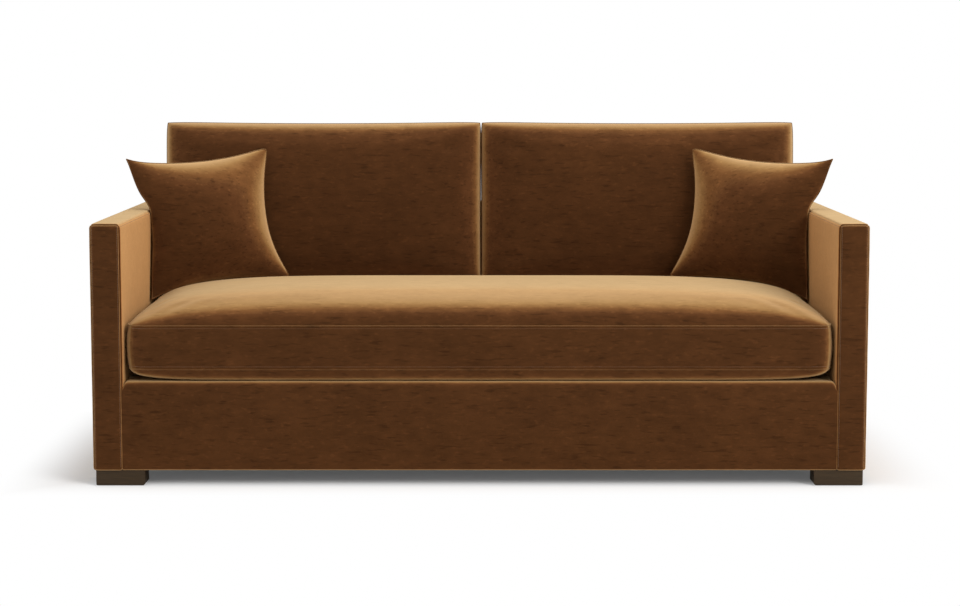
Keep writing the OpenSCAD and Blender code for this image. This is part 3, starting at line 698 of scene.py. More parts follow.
@dataclass(frozen=True)
class Finishes:
    """Every finish of the sofa."""

    body: Velvet = Velvet("velvet_body", turn=0.0)
    # Painted shade: the inside of the arms is a darker, more saturated copy of the velvet, as less
    # light reaches it
    inside: Velvet = Velvet("velvet_inside", turn=0.1, tint=(0.97, 0.795, 0.65))
    cushion: Velvet = Velvet("velvet_cushion", turn=0.35)
    # The back cushions and the pillows get painted light and shade on their slopes
    back: Velvet = Velvet("velvet_back", turn=-0.2, laid=0.012, tint=(0.94, 0.94, 0.96))
    pillow: Velvet = Velvet("velvet_pillow", turn=-0.4, laid=0.14)
    thread: Thread = Thread()
    walnut: Wood = Wood("walnut", (0.068, 0.041, 0.0175), (0.014, 0.0085, 0.0040), roughness=0.65,
                        grain=26.0, stretch=16.0, coat=0.02)
    lumber: Wood = Wood("lumber", (0.62, 0.44, 0.27), (0.42, 0.27, 0.15), roughness=0.75,
                        grain=14.0, stretch=12.0)
    hardboard: Fibre = Fibre("hardboard", (0.22, 0.125, 0.065), scale=420.0, depth=0.15 * MM,
                             contrast=0.3, roughness=0.7)
    steel: Metal = Metal("steel", (0.38, 0.39, 0.41))
    felt: Fibre = Fibre("felt", (0.030, 0.030, 0.033), scale=300.0, depth=0.3 * MM, contrast=0.5)
    paper: Fibre = Fibre("kraft_paper", (0.52, 0.38, 0.22), scale=180.0, depth=0.1 * MM,
                         contrast=0.2)
    nylon: Fibre = Fibre("nylon_zip", (0.055, 0.028, 0.014), scale=900.0, depth=0.1 * MM,
                         contrast=0.3, roughness=0.5)


FINISHES = Finishes()


# Cloth over boxes


@dataclass(frozen=True)
class Box:
    """Box whose edges are all rounded by one radius.

    A point P on its flat outside goes to inner + radius * unit(P - inner), where
    inner is P held to the box that is smaller by the radius on every side. Two
    faces so meet half way round their edge. With a slant, the front face leans:
    y moves by slant * (z - top) in full at the front face and not at the rear.
    Along X an edge takes up only the share "narrow" of the radius.
    """

    low: Point
    high: Point
    radius: float
    slant: float = 0.0
    narrow: float = 1.0

    def ticks(self, axis: int, start: float, end: float, pitch: float) -> Array:
        """Places of grid lines along an axis.

        Lines are even in angle round an edge, 2 mm apart beside it, and then as
        far apart as the pitch says.

        Args:
            axis: 0, 1 or 2.
            start: First place; at the box's own end the edge is rounded.
            end: Last place, likewise.
            pitch: Distance between lines away from the edges.

        Returns:
            Places from start to end.
        """
        low, high = self.low[axis], self.high[axis]
        reach = self.radius * (self.narrow if axis == 0 else 1.0)
        zone = reach * (1 - np.tan(np.linspace(math.pi / 4, 0, 7)))
        beside = np.cumsum([2, 2, 2, 2.5, 3, 4, 5]) * MM
        if end - start < 60 * MM:
            beside = beside[:3]
        near = np.concatenate([zone, zone[-1] + beside])
        cut = np.concatenate([[0.0], beside])
        head = start + (near if start <= low + 1e-6 else cut)
        tail = end - (near if end >= high - 1e-6 else cut)[::-1]
        count = max(2, int(round((tail[0] - head[-1]) / pitch)) + 1)
        return np.concatenate([head, np.linspace(head[-1], tail[0], count)[1:-1], tail])

    def patch(self, face: Face, u: Array, v: Array) -> tuple[Array, Array]:
        """Points and outward directions over a face.

        Args:
            face: Face of the box.
            u: Places along the first axis of the face.
            v: Places along its second axis.

        Returns:
            Two arrays of shape (u, v, 3).
        """
        axis, end = face.value
        first, second = (k for k in range(3) if k != axis)
        flat = np.zeros((len(u), len(v), 3))
        flat[..., first], flat[..., second] = u[:, None], v[None]
        flat[..., axis] = (self.low, self.high)[end][axis]
        reach = self.radius * np.array([self.narrow, 1.0, 1.0])
        inner = np.clip(flat, np.array(self.low) + reach, np.array(self.high) - reach)
        out = unit((flat - inner) / reach)
        points = inner + reach * out
        share = (self.high[1] - points[..., 1]) / (self.high[1] - self.low[1])
        points[..., 1] += self.slant * (points[..., 2] - self.high[2]) * share
        return points, out


@dataclass(frozen=True)
class Sewing:
    """How a piece of cloth meets its neighbours and is stitched.

    Attributes:
        seam_depth: How far the cloth dips at a seam.
        seam_width: Half of the width of the dip.
        row_in: Distance of the topstitching from its seam.
        row_depth: How far the topstitching pulls the cloth down.
        fullness: How far the padding lifts the cloth between its edges.
        pucker: Size of the puckers beside a seam.
    """

    seam_depth: float = 1.7 * MM
    seam_width: float = 1.9 * MM
    row_in: float = 5.4 * MM
    row_depth: float = 0.75 * MM
    fullness: float = 1.3 * MM
    pucker: float = 0.30 * MM


SEWING = Sewing()


@dataclass
class Panel:
    """Piece of velvet stretched over padding on one face of a box.

    Its grid is the box's patch. Each point moves along its outward direction by
    fullness * product over borders of (1 - e^(-distance / 14 mm)), less a bell
    shaped dip at each sewn border and at each row of topstitching, plus puckers
    and soft irregularity.

    Attributes:
        box: The box under the cloth.
        face: Face that the cloth covers.
        across: First and last place along the face's first axis.
        along: First and last place along its second axis.
        sewn: Borders with a seam, out of "u", "U", "v", "V" (U, V are the far ones).
        stitched: Borders with a row of topstitching.
        hem: Whether the lower border turns under the frame.
        seed: Seed of the irregularity.
        pitch: Distance between the grid's lines.
    """

    box: Box
    face: Face
    across: tuple[float, float]
    along: tuple[float, float]
    sewn: str = ""
    stitched: str = ""
    hem: bool = False
    seed: int = 1
    pitch: float = 12 * MM
    points: Array = field(init=False)
    out: Array = field(init=False)
    margins: dict[str, Array] = field(init=False)

    def __post_init__(self) -> None:
        """Work out the grid."""
        first, second = (k for k in range(3) if k != self.face.value[0])
        lift = HEM[1] - HEM_DROP if self.hem else 0.0
        u = self.box.ticks(first, *self.across, self.pitch)
        v = self.box.ticks(second, self.along[0] + lift, self.along[1], self.pitch)
        base, self.out = self.box.patch(self.face, u, v)
        self.margins = self.distances(base)
        self.points = base + self.lift(base)[..., None] * self.out

    @staticmethod
    def distances(points: Array) -> dict[str, Array]:
        """Distance of each grid point from each border, measured on the surface.

        Args:
            points: Grid of shape (u, v, 3).

        Returns:
            Distances by border: "u" and "v" for the near ones, "U" and "V" for the far.
        """
        du = np.linalg.norm(np.diff(points, axis=0), axis=2)
        dv = np.linalg.norm(np.diff(points, axis=1), axis=2)
        u = np.concatenate([np.zeros((1, du.shape[1])), np.cumsum(du, axis=0)])
        v = np.concatenate([np.zeros((dv.shape[0], 1)), np.cumsum(dv, axis=1)], axis=1)
        return {"u": u, "U": u[-1:] - u, "v": v, "V": v[:, -1:] - v}

    def lift(self, base: Array) -> Array:
        """Movement of each point along its outward direction.

        Args:
            base: Grid of the box's patch, of shape (u, v, 3).

        Returns:
            Movements of shape (u, v).
        """
        full = np.full(base.shape[:2], SEWING.fullness)
        for border in self.sewn:
            full *= 1 - np.exp(-self.margins[border] / (14 * MM))
        full += 0.35 * MM * wander(base, 0.22, self.seed) * full / SEWING.fullness
        for border in self.sewn:
            near = self.margins[border]
            full -= SEWING.seam_depth * bell(near, SEWING.seam_width)
            full += SEWING.pucker * bell(near, 13 * MM) * wander(base, 0.045, self.seed + 7, 4)
        for border in self.stitched:
            full -= SEWING.row_depth * bell(self.margins[border] - SEWING.row_in, 1.5 * MM)
        return full

    def surface(self) -> Surface:
        """Mesh of the panel, with its hem."""
        points = self.points
        if self.hem:
            edge, out = points[:, 0], self.out[:, 0]
            turn = np.linspace(0, math.pi / 2, 7)[:, None, None]
            down = np.array([0.0, 0.0, -1.0])
            roll = edge[None] - out[None] * HEM[0] * (1 - np.cos(turn))
            roll = roll + down * HEM[1] * np.sin(turn)
            under = roll[-1][None] - out[None] * np.array([3, 6])[:, None, None] * MM
            rows = np.concatenate([roll, under])[::-1]
            points = np.concatenate([rows[:-1].transpose(1, 0, 2), points], axis=1)
        return Surface.grid(points).facing(self.middle())

    def middle(self) -> Array:
        """Point well inside the box."""
        low, high = np.array(self.box.low), np.array(self.box.high)
        return (low + high) / 2

    def rows(self) -> list[Surface]:
        """Stitches along each stitched border."""
        made = []
        for border in self.stitched:
            margin = self.margins[border]
            points, out = self.points, self.out
            if border in "vV":
                margin, points, out = margin.T, points.transpose(1, 0, 2), out.transpose(1, 0, 2)
            profile = margin[:, margin.shape[1] // 2]
            order = np.argsort(profile)
            at = np.interp(SEWING.row_in, profile[order], order.astype(float))
            k, w = int(at), at - int(at)
            line = (1 - w) * points[k] + w * points[k + 1]
            up = unit((1 - w) * out[k] + w * out[k + 1])
            run = along(line)
            keep = (run > SEWING.row_in) & (run < run[-1] - SEWING.row_in)
            made.append(stitches(line[keep], up[keep]))
        return made


class Piece:
    """Something shown on a body of the frame, in place of some of its nodes."""

    def show(self, surface: Surface, name: str, material: bpy.types.Material, body: str, slot: str,
             replaces: tuple[str, ...] = (), fill: float | None = None,
             smooth: int = 0) -> bpy.types.Object:
        """Make the object, smooth it if asked, hang it on its body and hide the nodes that it
        stands for.

        Args:
            surface: Its mesh.
            name: Name of the object.
            material: Its finish.
            body: Body it rides on.
            slot: Slot its finish comes from; not used.
            replaces: Nodes that it stands for.
            fill: Filling from 0 to 1 for a padded piece; not used.
            smooth: Levels of subdivision.

        Returns:
            The object.
        """
        made = surface.object(name, material)
        log.info("%s: %d points, on %s", name, len(surface.points), body)
        if smooth:
            levels = made.modifiers.new("smooth", "SUBSURF")
            levels.levels = levels.render_levels = smooth
        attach(made, body)
        if replaces:
            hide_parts(*replaces)
        return made


@dataclass
class Covered(Piece):
    """Panels that are sewn into one cover, with their topstitching."""

    name: str
    panels: list[Panel]
    replaces: tuple[str, ...]
    mirrored: bool = False
    finish: Velvet = FINISHES.body

    def build(self) -> None:
        """Show the cover and its stitches."""
        cloth = Surface.joined([p.surface() for p in self.panels], weld=2e-5)
        rows = [row for p in self.panels for row in p.rows()]
        if self.mirrored:
            cloth = cloth.mirrored()
            rows = [row.mirrored() for row in rows]
        self.show(cloth, self.name, self.finish.material(), "frame", "velvet",
                  self.replaces, fill=1.0)
        if rows:
            self.show(Surface.joined(rows, weld=0), self.name + "_stitches",
                      FINISHES.thread.material(), "frame", "velvet")


@dataclass
class Body(Piece):
    """Upholstered body: arms, front panel, deck, inside and outside back, dust cover.

    Attributes:
        low: Lowest corner of the body.
        high: Highest corner of the body.
        arm_in: Half of the width between the arms.
        panel_y: Plane of the front panel.
        deck_z: Height of the deck.
        deck_rear: Rear edge of the deck.
        back_front: Front of the inside back at its top.
        slant: Tangent of the inside back's lean.
        edge: Radius of the edges of the arms and the back.
        panel_edge: Radius of the front panel's edges.
        corner: Radius of the front panel's upper corners, seen from the front.
        springs: Distance between neighbouring springs.
        bays: Half of the width between the outermost stretchers, with three bays in all.
        sag: How far the dust cover hangs down in the middle of a bay.
        sink: How far the deck lies under its edges.
        dip: How far it waves up and down over the springs.
    """

    low: Point
    high: Point
    arm_in: float
    panel_y: float
    deck_z: float
    deck_rear: float
    back_front: float
    slant: float
    edge: float = 11 * MM
    panel_edge: float = 16 * MM
    corner: float = 12 * MM
    springs: float = 126 * MM
    bays: float = 882 * MM
    sag: float = 3.2 * MM
    sink: float = 4.0 * MM
    dip: float = 0.6 * MM

    @classmethod
    def measured(cls) -> Body:
        """Take the sizes off the frame's nodes."""
        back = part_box("outside_back_cover")
        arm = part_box("inside_arm_cover_right")
        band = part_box("arm_band_right")
        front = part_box("front_cover")
        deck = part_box("deck_cover")
        slant = math.tan(math.radians(BACK_LEAN))
        return cls((back[0].x, band[0].y, back[0].z), (back[1].x, back[1].y, back[1].z),
                   arm[0].x, front[0].y, front[1].z, deck[1].y,
                   deck[1].y + slant * (back[1].z - deck[1].z), slant)

    def arm(self, side: Side) -> None:
        """Show the covers of one arm.

        Args:
            side: Left or right.
        """
        box = Box((self.arm_in, self.low[1], -1.0), self.high, self.edge)
        foot, top = self.low[2], self.high[2]
        depth = (self.low[1], self.high[1])
        seed = 11 if side is Side.RIGHT else 31
        width = (self.arm_in, self.high[0])
        front = Panel(box, Face.FRONT, width, (foot, top), sewn="uUV", stitched="uU", hem=True,
                      seed=seed, pitch=10 * MM)
        lid = Panel(box, Face.TOP, width, depth, sewn="uUv", seed=seed + 1)
        inner = Panel(box, Face.LEFT, depth, (foot, top), sewn="uV", stitched="V", seed=seed + 2)
        outer = Panel(box, Face.RIGHT, depth, (foot, top), sewn="uUV", stitched="uV", hem=True,
                      seed=seed + 3)
        word, flip = side.word, side is Side.LEFT
        Covered(f"arm_front_{word}", [front, lid], (f"arm_band_{word}", f"arm_pad_{word}"),
                flip).build()
        # The inside panel takes the velvet copy with painted shade
        Covered(f"arm_inside_{word}", [inner], (f"inside_arm_cover_{word}",), flip,
                FINISHES.inside).build()
        Covered(f"arm_outside_{word}", [outer], (f"outside_arm_cover_{word}",), flip).build()

    def front(self) -> None:
        """Show the front panel with its rounded top and sides."""
        half = self.arm_in + 7 * MM
        box = Box((-half, self.panel_y, -1.0), (half, 0.3, self.deck_z), self.panel_edge,
                  narrow=0.3)
        foot = self.low[2]
        face = Panel(box, Face.FRONT, (-half, half), (foot, self.deck_z), hem=True, seed=51)
        lid = Panel(box, Face.TOP, (-half, half), (self.panel_y, self.panel_y + 70 * MM), seed=51)
        depth = (self.panel_y, self.panel_y + 40 * MM)
        sides = [Panel(box, end, depth, (foot, self.deck_z), seed=51)
                 for end in (Face.LEFT, Face.RIGHT)]
        for panel in (face, lid, *sides):
            x, z = np.abs(panel.points[..., 0]), panel.points[..., 2]
            d = np.clip((x - self.arm_in) / self.corner + 1, 0, 1)
            share = ease((z - self.deck_z) / (4 * self.corner) + 1)
            panel.points[..., 2] -= self.corner * (1 - np.sqrt(1 - d * d)) * share
        Covered("front_panel", [face, lid, *sides], ("front_cover", "front_pad")).build()

    def deck(self) -> None:
        """Show the deck: cloth that sinks a little between the springs."""
        half = self.arm_in - 2 * MM
        x = np.linspace(-half, half, 181)
        y = np.linspace(self.panel_y + 68 * MM, self.deck_rear, 65)
        grid = np.stack(np.meshgrid(x, y, indexing="ij") + [np.zeros((181, 65))], axis=-1)
        inward = np.clip((half - np.abs(grid[..., 0])) / 0.1, 0, 1) * np.clip(
            (self.deck_rear - grid[..., 1]) / 0.1, 0, 1)
        dips = self.dip * np.cos(grid[..., 0] * 2 * math.pi / self.springs) * inward
        grid[..., 2] = self.deck_z - (self.sink * ease(inward) - dips) * inward
        self.show(Surface.grid(grid).facing(np.array([0, 0, -1.0])), "deck",
                  FINISHES.body.material(), "frame", "velvet", ("deck_cover", "deck_pad"), 1.0)

    def back(self) -> None:
        """Show the inside back, the band on its top and the outside back."""
        half = self.arm_in - 2 * MM
        rear, top, foot = self.high[1], self.high[2], self.low[2]
        inside = Box((-2.0, self.back_front, -1.0), (2.0, rear, top), self.edge, self.slant)
        front = Panel(inside, Face.FRONT, (-half, half), (self.deck_z - 12 * MM, top), sewn="V",
                      stitched="V", seed=61)
        lid = Panel(inside, Face.TOP, (-half, half), (self.back_front, rear), sewn="vV", seed=62)
        body = Box((self.low[0], -2.0, -1.0), self.high, self.edge)
        outside = Panel(body, Face.REAR, (self.low[0], self.high[0]), (foot, top), sewn="uUV",
                        stitched="uUV", hem=True, seed=63)
        Covered("back_inside", [front], ("inside_back_cover", "inside_back_pad")).build()
        Covered("back_band", [lid], ("back_top_band",)).build()
        Covered("back_outside", [outside], ("outside_back_cover",)).build()

    def dust(self) -> None:
        """Show the dust cover: a stretched sheet that sags a little between the stretchers."""
        low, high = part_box("dust_cover")
        x, y = np.linspace(low.x, high.x, 165), np.linspace(low.y, high.y, 81)
        grid = np.stack(np.meshgrid(x, y, indexing="ij") + [np.zeros((165, 81))], axis=-1)
        u, v = grid[..., 0] / high.x, (grid[..., 1] - low.y) / (high.y - low.y)
        bay = np.abs(np.sin(np.clip(np.abs(grid[..., 0]) / self.bays, 0, 1) * math.pi * 1.5))
        open_v = np.clip((v - 0.06) / 0.88, 0, 1)
        sag = self.sag * bay * np.sin(math.pi * open_v)
        grid[..., 2] = low.z + 0.3 * MM - sag * (np.abs(u) < 0.9)
        black = Fibre("dust_cloth", (0.013, 0.013, 0.014), scale=700.0, depth=0.1 * MM,
                      contrast=0.3)
        sheet = self.show(Surface.grid(grid).facing(np.array([0, 0, 1.0])), "dust_sheet",
                          black.material(), "frame", "felt", ("dust_cover",))

    def build(self) -> None:
        """Show the whole body."""
        for side in Side:
            self.arm(side)
        self.front()
        self.deck()
        self.back()
        self.dust()


# Loose cushions


@dataclass(frozen=True)
class Filling:
    """Cloth simulation that fills out a closed cover.

    Attributes:
        pressure: Pressure of the filling.
        frames: Length of the simulation.
        stiffness: Stiffness of the cloth against stretching.
        shear: Stiffness of the cloth against skewing.
        bending: Stiffness of the cloth against folds.
        mass: Mass of each point in kilograms.
        quality: Steps of the simulation in a frame.
    """

    pressure: float = 4.0
    frames: int = 20
    stiffness: float = 22.0
    shear: float = 8.0
    bending: float = 2.5
    mass: float = 0.35
    quality: int = 6

    def fill(self, surface: Surface, held: Array, cap: Array) -> Surface:
        """Simulate the cover, with some of its points held.

        Args:
            surface: Closed cover.
            held: How firmly each point is held, from 0 to 1.
            cap: Farthest that each point may move.

        Returns:
            The filled cover.
        """
        scene = bpy.context.scene
        cover = surface.object("filling", FINISHES.cushion.material())
        group = cover.vertex_groups.new(name="held")
        for weight in np.unique(np.round(held, 2)):
            if weight > 0:
                which = np.flatnonzero(np.round(held, 2) == weight)
                group.add(which.tolist(), float(weight), "REPLACE")
        cloth = cover.modifiers.new("cloth", "CLOTH")
        s = cloth.settings
        s.quality, s.mass = self.quality, self.mass
        s.tension_stiffness = s.compression_stiffness = self.stiffness
        s.shear_stiffness, s.bending_stiffness = self.shear, self.bending
        s.use_pressure, s.uniform_pressure_force = True, self.pressure
        s.vertex_group_mass = "held"
        s.effector_weights.gravity = 0.0
        cloth.point_cache.frame_start, cloth.point_cache.frame_end = 1, self.frames
        for frame in range(1, self.frames + 1):
            scene.frame_set(frame)
        ready = cover.evaluated_get(bpy.context.evaluated_depsgraph_get())
        after = np.empty(len(surface.points) * 3)
        ready.data.vertices.foreach_get("co", after)
        move = after.reshape(-1, 3) - surface.points
        size = np.linalg.norm(move, axis=1, keepdims=True)
        log.info("filling: largest movement %.1f mm, mean %.1f mm", size.max() / MM,
                 size.mean() / MM)
        cap = np.maximum(cap, 1e-6)[:, None]
        move *= cap * np.tanh(size / cap) / np.maximum(size, 1e-9)
        mesh = cover.data
        bpy.data.objects.remove(cover)
        bpy.data.meshes.remove(mesh)
        scene.frame_set(1)
        return Surface(surface.points + move, surface.quads)


def even_shares(power: float, span: float, thick: float, pitch: float) -> Array:
    """Shares from -1 to 1 that are even along a swelling profile.

    The profile is thick * sqrt(1 - |s| ** power) over span * s.

    Args:
        power: Power of the profile.
        span: Half of its width.
        thick: Its height.
        pitch: Distance between neighbours, measured on the profile.

    Returns:
        An odd number of shares.
    """
    s = crowd(4001)
    rise = thick * np.sqrt(np.maximum(1 - np.abs(s) ** power, 0))
    run = along(np.stack([span * s, rise], axis=1))
    count = 2 * int(round(run[-1] / pitch / 2)) + 1
    return np.interp(np.linspace(0, run[-1], count), run, s)


def ring(grid: Array) -> Array:
    """Border points of a grid of shape (u, v, 3), once round."""
    return np.concatenate([grid[:, 0], grid[-1, 1:], grid[-2::-1, -1], grid[0, -2:0:-1]])


@dataclass
class SeatCushion(Piece):
    """Boxed bench cushion with a crown that the back cushions press down.

    The height over the seam is crown * (1 - pressed) * sqrt((1 - |u| ** p) *
    (1 - |v| ** p)), with u and v the shares of the half width and depth.

    Attributes:
        half: Half width and half depth at the seams.
        middle: Depth of its middle.
        seams: Heights of the lower and the upper seam.
        crown: Height of the top over the upper seam.
        pressed: Share of the crown that the back cushions press away.
        belly: Depth of the base under the lower seam.
        boxing: Distance between the seams.
        corner: Radius of the corners, seen from above.
        swell: How far the boxing stands out between the seams.
        node_swell: The same for the construction's node.
        power: How full the crown is towards the edges.
        base_powers: How full the base is towards the ends, and towards front and rear.
        rear: Share of the half depth where the press starts, and how far it takes to
            its full amount.
        wider: How far the seams lie outside the sides of the construction's node.
        row_in: Distance of the topstitching from a seam.
        pitch: Distance between the lines of its grid.
    """

    half: tuple[float, float]
    middle: float
    seams: tuple[float, float]
    crown: float = 80 * MM
    pressed: float = 0.56
    belly: float = 33 * MM
    boxing: float = 112 * MM
    corner: float = 42 * MM
    swell: float = 5 * MM
    node_swell: float = 3 * MM
    power: float = 5.3
    base_powers: tuple[float, float] = (12.0, 40.0)
    rear: tuple[float, float] = (0.24, 0.42)
    wider: float = 1 * MM
    row_in: float = 7 * MM
    pitch: float = 13.5 * MM

    @classmethod
    def measured(cls) -> SeatCushion:
        """Take the sizes off the frame's node."""
        low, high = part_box("seat_cover")
        y0, y1 = low.y + cls.node_swell, high.y - cls.node_swell
        lower = low.z + cls.belly
        return cls((high.x + cls.wider, (y1 - y0) / 2), (y0 + y1) / 2, (lower, lower + cls.boxing))

    def plan(self, u: Array, v: Array) -> Array:
        """Plan of the cushion: a rectangle with round corners.

        In a corner square of the size of the radius, a point keeps its larger
        coordinate as its distance from the corner's centre.

        Args:
            u: Shares of the half width.
            v: Shares of the half depth.

        Returns:
            Places of shape (u, v, 2), from the cushion's middle.
        """
        half = np.array(self.half)
        flat = np.stack(np.meshgrid(u * half[0], v * half[1], indexing="ij"), axis=-1)
        inner = np.clip(flat, -(half - self.corner), half - self.corner)
        d = flat - inner
        reach = np.abs(d).max(axis=-1, keepdims=True)
        return inner + unit(d + 1e-15) * reach

    def height(self, plan: Array, powers: tuple[float, float], amount: float,
               pressed: float) -> Array:
        """Height over the seam at places of the plan.

        Args:
            plan: Places on the plan.
            powers: How full the swell is towards the ends and towards front and rear.
            amount: Its height in the middle.
            pressed: Share of it that the back cushions press away.

        Returns:
            Heights, one for each place.
        """
        u, v = np.abs(plan[..., 0]) / self.half[0], plan[..., 1] / self.half[1]
        press = ease((v - self.rear[0]) / self.rear[1]) * pressed
        corner = self.corner_share(plan)
        return amount * (1 - press) * corner * np.sqrt(
            np.maximum(1 - u ** powers[0], 0) * np.maximum(1 - np.abs(v) ** powers[1], 0))

    def corner_share(self, plan: Array) -> Array:
        """One inside the plan, down to zero on the arcs of its corners.

        Args:
            plan: Places on the plan.

        Returns:
            Square root of (1 - r ** 2) / ((1 - dx ** 2)(1 - dy ** 2)) in a corner, where
            dx, dy and r are the distances from its centre in radii.
        """
        half = np.array(self.half) - self.corner
        d = np.maximum(np.abs(plan) - half, 0)
        far = np.where((d > 0).all(axis=-1), np.linalg.norm(d, axis=-1) / self.corner, 0)
        ratio = (1 - far**2) / np.maximum((1 - (d[..., 0] / self.corner) ** 2)
                                          * (1 - (d[..., 1] / self.corner) ** 2), 1e-9)
        return np.sqrt(np.clip(ratio, 0, 1))

    def build(self) -> None:
        """Show the cushion, its seams and its topstitching."""
        u = even_shares(self.power, self.half[0], self.crown, self.pitch)
        v = even_shares(self.power, self.half[1], self.crown * 0.8, self.pitch)
        plan = self.plan(u, v)
        rise = self.height(plan, (self.power, self.power), self.crown, self.pressed)
        sink = self.height(plan, self.base_powers, self.belly, 0.0)
        top, base = (np.concatenate([plan + [0, self.middle], z[..., None]], axis=-1)
                     for z in (self.seams[1] + rise, self.seams[0] - sink))
        upper, lower = ring(top), ring(base)
        out = self.outward(upper)
        share = np.linspace(0, 1, 13)[:, None, None]
        wall = lower + share * (upper - lower) + self.swell * np.sin(share * math.pi) * out
        parts = [Surface.grid(top), Surface.grid(wall.transpose(1, 0, 2), closed_u=True),
                 Surface.grid(base[:, ::-1])]
        inner = np.array([0, self.middle, sum(self.seams) / 2])
        cover = Surface.joined([p.facing(inner) for p in parts], weld=1e-5)
        on_seam = np.minimum(np.abs(cover.points[:, 2] - self.seams[0]),
                             np.abs(cover.points[:, 2] - self.seams[1])) < 1e-6
        held = on_seam.astype(float)
        held = np.maximum(held, (cover.points[:, 2] < self.seams[0] - 1e-5) * 0.9)
        free = 1 - ease((cover.points[:, 1] - self.middle) / self.half[1] / 0.3)
        cover = Filling(pressure=8.0).fill(cover, held, 0.2 * MM + 3 * MM * free)
        self.show(cover, "seat_cushion", FINISHES.cushion.material(), "seat", "velvet",
                  ("seat_cover", "seat_wrap", "seat_core"), 1.0, smooth=1)
        rows = []
        for edge in (upper, lower):
            rows.append(tube(edge - out * 0.2 * MM, out, 1.1 * MM, 8, closed=True))
        self.show(Surface.joined(rows, weld=0), "seat_seams", FINISHES.cushion.material(),
                  "seat", "velvet")
        stitched = []
        for edge, way in ((upper, -1), (lower, 1)):
            bulge = self.swell * math.sin(self.row_in / self.boxing * math.pi)
            line = edge + np.array([0, 0, way * self.row_in]) + out * bulge
            stitched.append(stitches(line, out, closed=True))
        self.show(Surface.joined(stitched, weld=0), "seat_stitches", FINISHES.thread.material(),
                  "seat", "velvet")

    def outward(self, loop: Array) -> Array:
        """Level outward direction at points of the plan's border.

        Args:
            loop: Points of a seam, one a row.

        Returns:
            Unit vectors, one a row.
        """
        flat = loop[:, :2] - [0, self.middle]
        half = np.array(self.half)
        inner = np.clip(flat, -(half - self.corner), half - self.corner)
        return unit(np.concatenate([flat - inner, np.zeros((len(flat), 1))], axis=1))


@dataclass
class KnifeEdge(Piece):
    """Cushion of two faces sewn together at one seam, with drawn-in edges.

    At shares u and v, a face is half_thick * (e * sqrt((1 - |u| ** p)(1 - |v| ** q))
    + (1 - e) * (1 - u ** 2)(1 - v ** 2)) from the seam's plane. An edge draws in by
    draw * (1 - share ** 2) between its corners; at the sides the share is counted
    from the pinch, and at +X, where the cushion lies against something, the draw
    is draw * cos ** 2 of an angle that goes from -90 to 90 degrees instead. An ear
    moves its corner out by ear * |u * v| ** 12. With a roundness r other than 0.5
    the square root in the face becomes the power r.

    Attributes:
        name: Name of the cushion.
        half: Half width, thickness and height.
        draws: Draw of the edge at +X, of the one at -X, and of the top and lower edges.
        powers: How full the cushion is towards its sides, and its top and lower edges.
        edge: Share e of its thickness that it reaches close to its edges.
        pinch: Shares of the height at which the edges at +X and -X draw in most.
        roundness: How blunt the face meets the seam; less is blunter.
        taper: How far the upper end of the edge at -X stands in.
        pitch: Distance between the lines of its grid.
        ears: How far the corners at +X and at -X stand out.
        spill: How far the upper part spreads at +X, over what it lies against.
        filling: Filling of the cushion.
        caps: How far the filling may move the front face and the rear face where they
            are thickest; closer to the seam it is less, as the thickness is.
    """

    name: str
    half: Point
    draws: Point
    powers: tuple[float, float]
    edge: float = 1.0
    ears: tuple[float, float] = (0.0, 0.0)
    pinch: tuple[float, float] = (0.12, 0.0)
    roundness: float = 0.5
    taper: float = 0.0
    spill: float = 0.0
    pitch: float = 9 * MM
    filling: Filling = Filling()
    caps: tuple[float, float] = (22 * MM, 0.3 * MM)

    def face(self, side: int, u: Array, v: Array) -> Array:
        """Points of one face.

        Args:
            side: -1 for the front face, 1 for the rear one.
            u: Shares of the half width.
            v: Shares of the half height.

        Returns:
            Array of shape (u, v, 3), round the cushion's own middle.
        """
        a, b = np.meshgrid(u, v, indexing="ij")
        near, far = ((b - p) / np.where(b > p, 1 - p, 1 + p) for p in self.pinch)
        draw = np.where(a > 0, self.draws[0] * np.cos(near * math.pi / 2) ** 2,
                        self.draws[1] * (1 - far * far))
        plump = self.edge * (np.maximum(1 - np.abs(a) ** self.powers[0], 0)
                             * np.maximum(1 - np.abs(b) ** self.powers[1], 0)) ** self.roundness
        plump += (1 - self.edge) * (1 - a * a) * (1 - b * b)
        ear = np.where(a > 0, *self.ears) * np.abs(a * b) ** 12
        x = a * (self.half[0] - draw) + np.sign(a) * ear
        x += np.maximum(a, 0) * self.spill * ease((b + 0.3) / 0.9)
        x += np.maximum(-a, 0) * self.taper * (b + 1) / 2
        z = b * (self.half[2] - self.draws[2] * (1 - a * a)) + np.sign(b) * ear
        return np.stack([x, side * self.half[1] * plump, z], axis=-1)

    def build(self, place: Callable[[Array], Array], body: str, material: bpy.types.Material,
              replaces: tuple[str, ...], flip: bool) -> None:
        """Show the cushion and its seam.

        Args:
            place: Function that puts the cushion's own points in their place.
            body: Body it rides on.
            material: Its finish.
            replaces: Nodes that it stands for.
            flip: Whether it goes to the left side, as a mirror image.
        """
        u = even_shares(self.powers[0], self.half[0], self.half[1] * self.edge, self.pitch)
        v = even_shares(self.powers[1], self.half[2], self.half[1] * self.edge, self.pitch)
        faces = [self.face(side, u, v) for side in (-1, 1)]
        border = ring(faces[0])
        cover = Surface.joined([Surface.grid(faces[0]).facing(np.zeros(3)),
                                Surface.grid(faces[1]).facing(np.zeros(3))], weld=1e-5)
        held = (np.abs(cover.points[:, 1]) < 1e-6).astype(float)
        depth = cover.points[:, 1] / self.half[1]
        cover = self.filling.fill(cover, held, np.where(depth < 0, *self.caps) * np.abs(depth))
        cover = Surface(place(cover.points), cover.quads)
        out = unit(border * (1, 0, 1))
        seam = place(border)
        out = place(border + out) - seam
        edge = tube(seam, out, 1.5 * MM, 8, closed=True)
        if flip:
            cover, edge = cover.mirrored(), edge.mirrored()
        self.show(cover, self.name, material, body, "velvet", replaces, 0.8, smooth=1)
        self.show(edge, self.name + "_seam", material, body, "velvet")


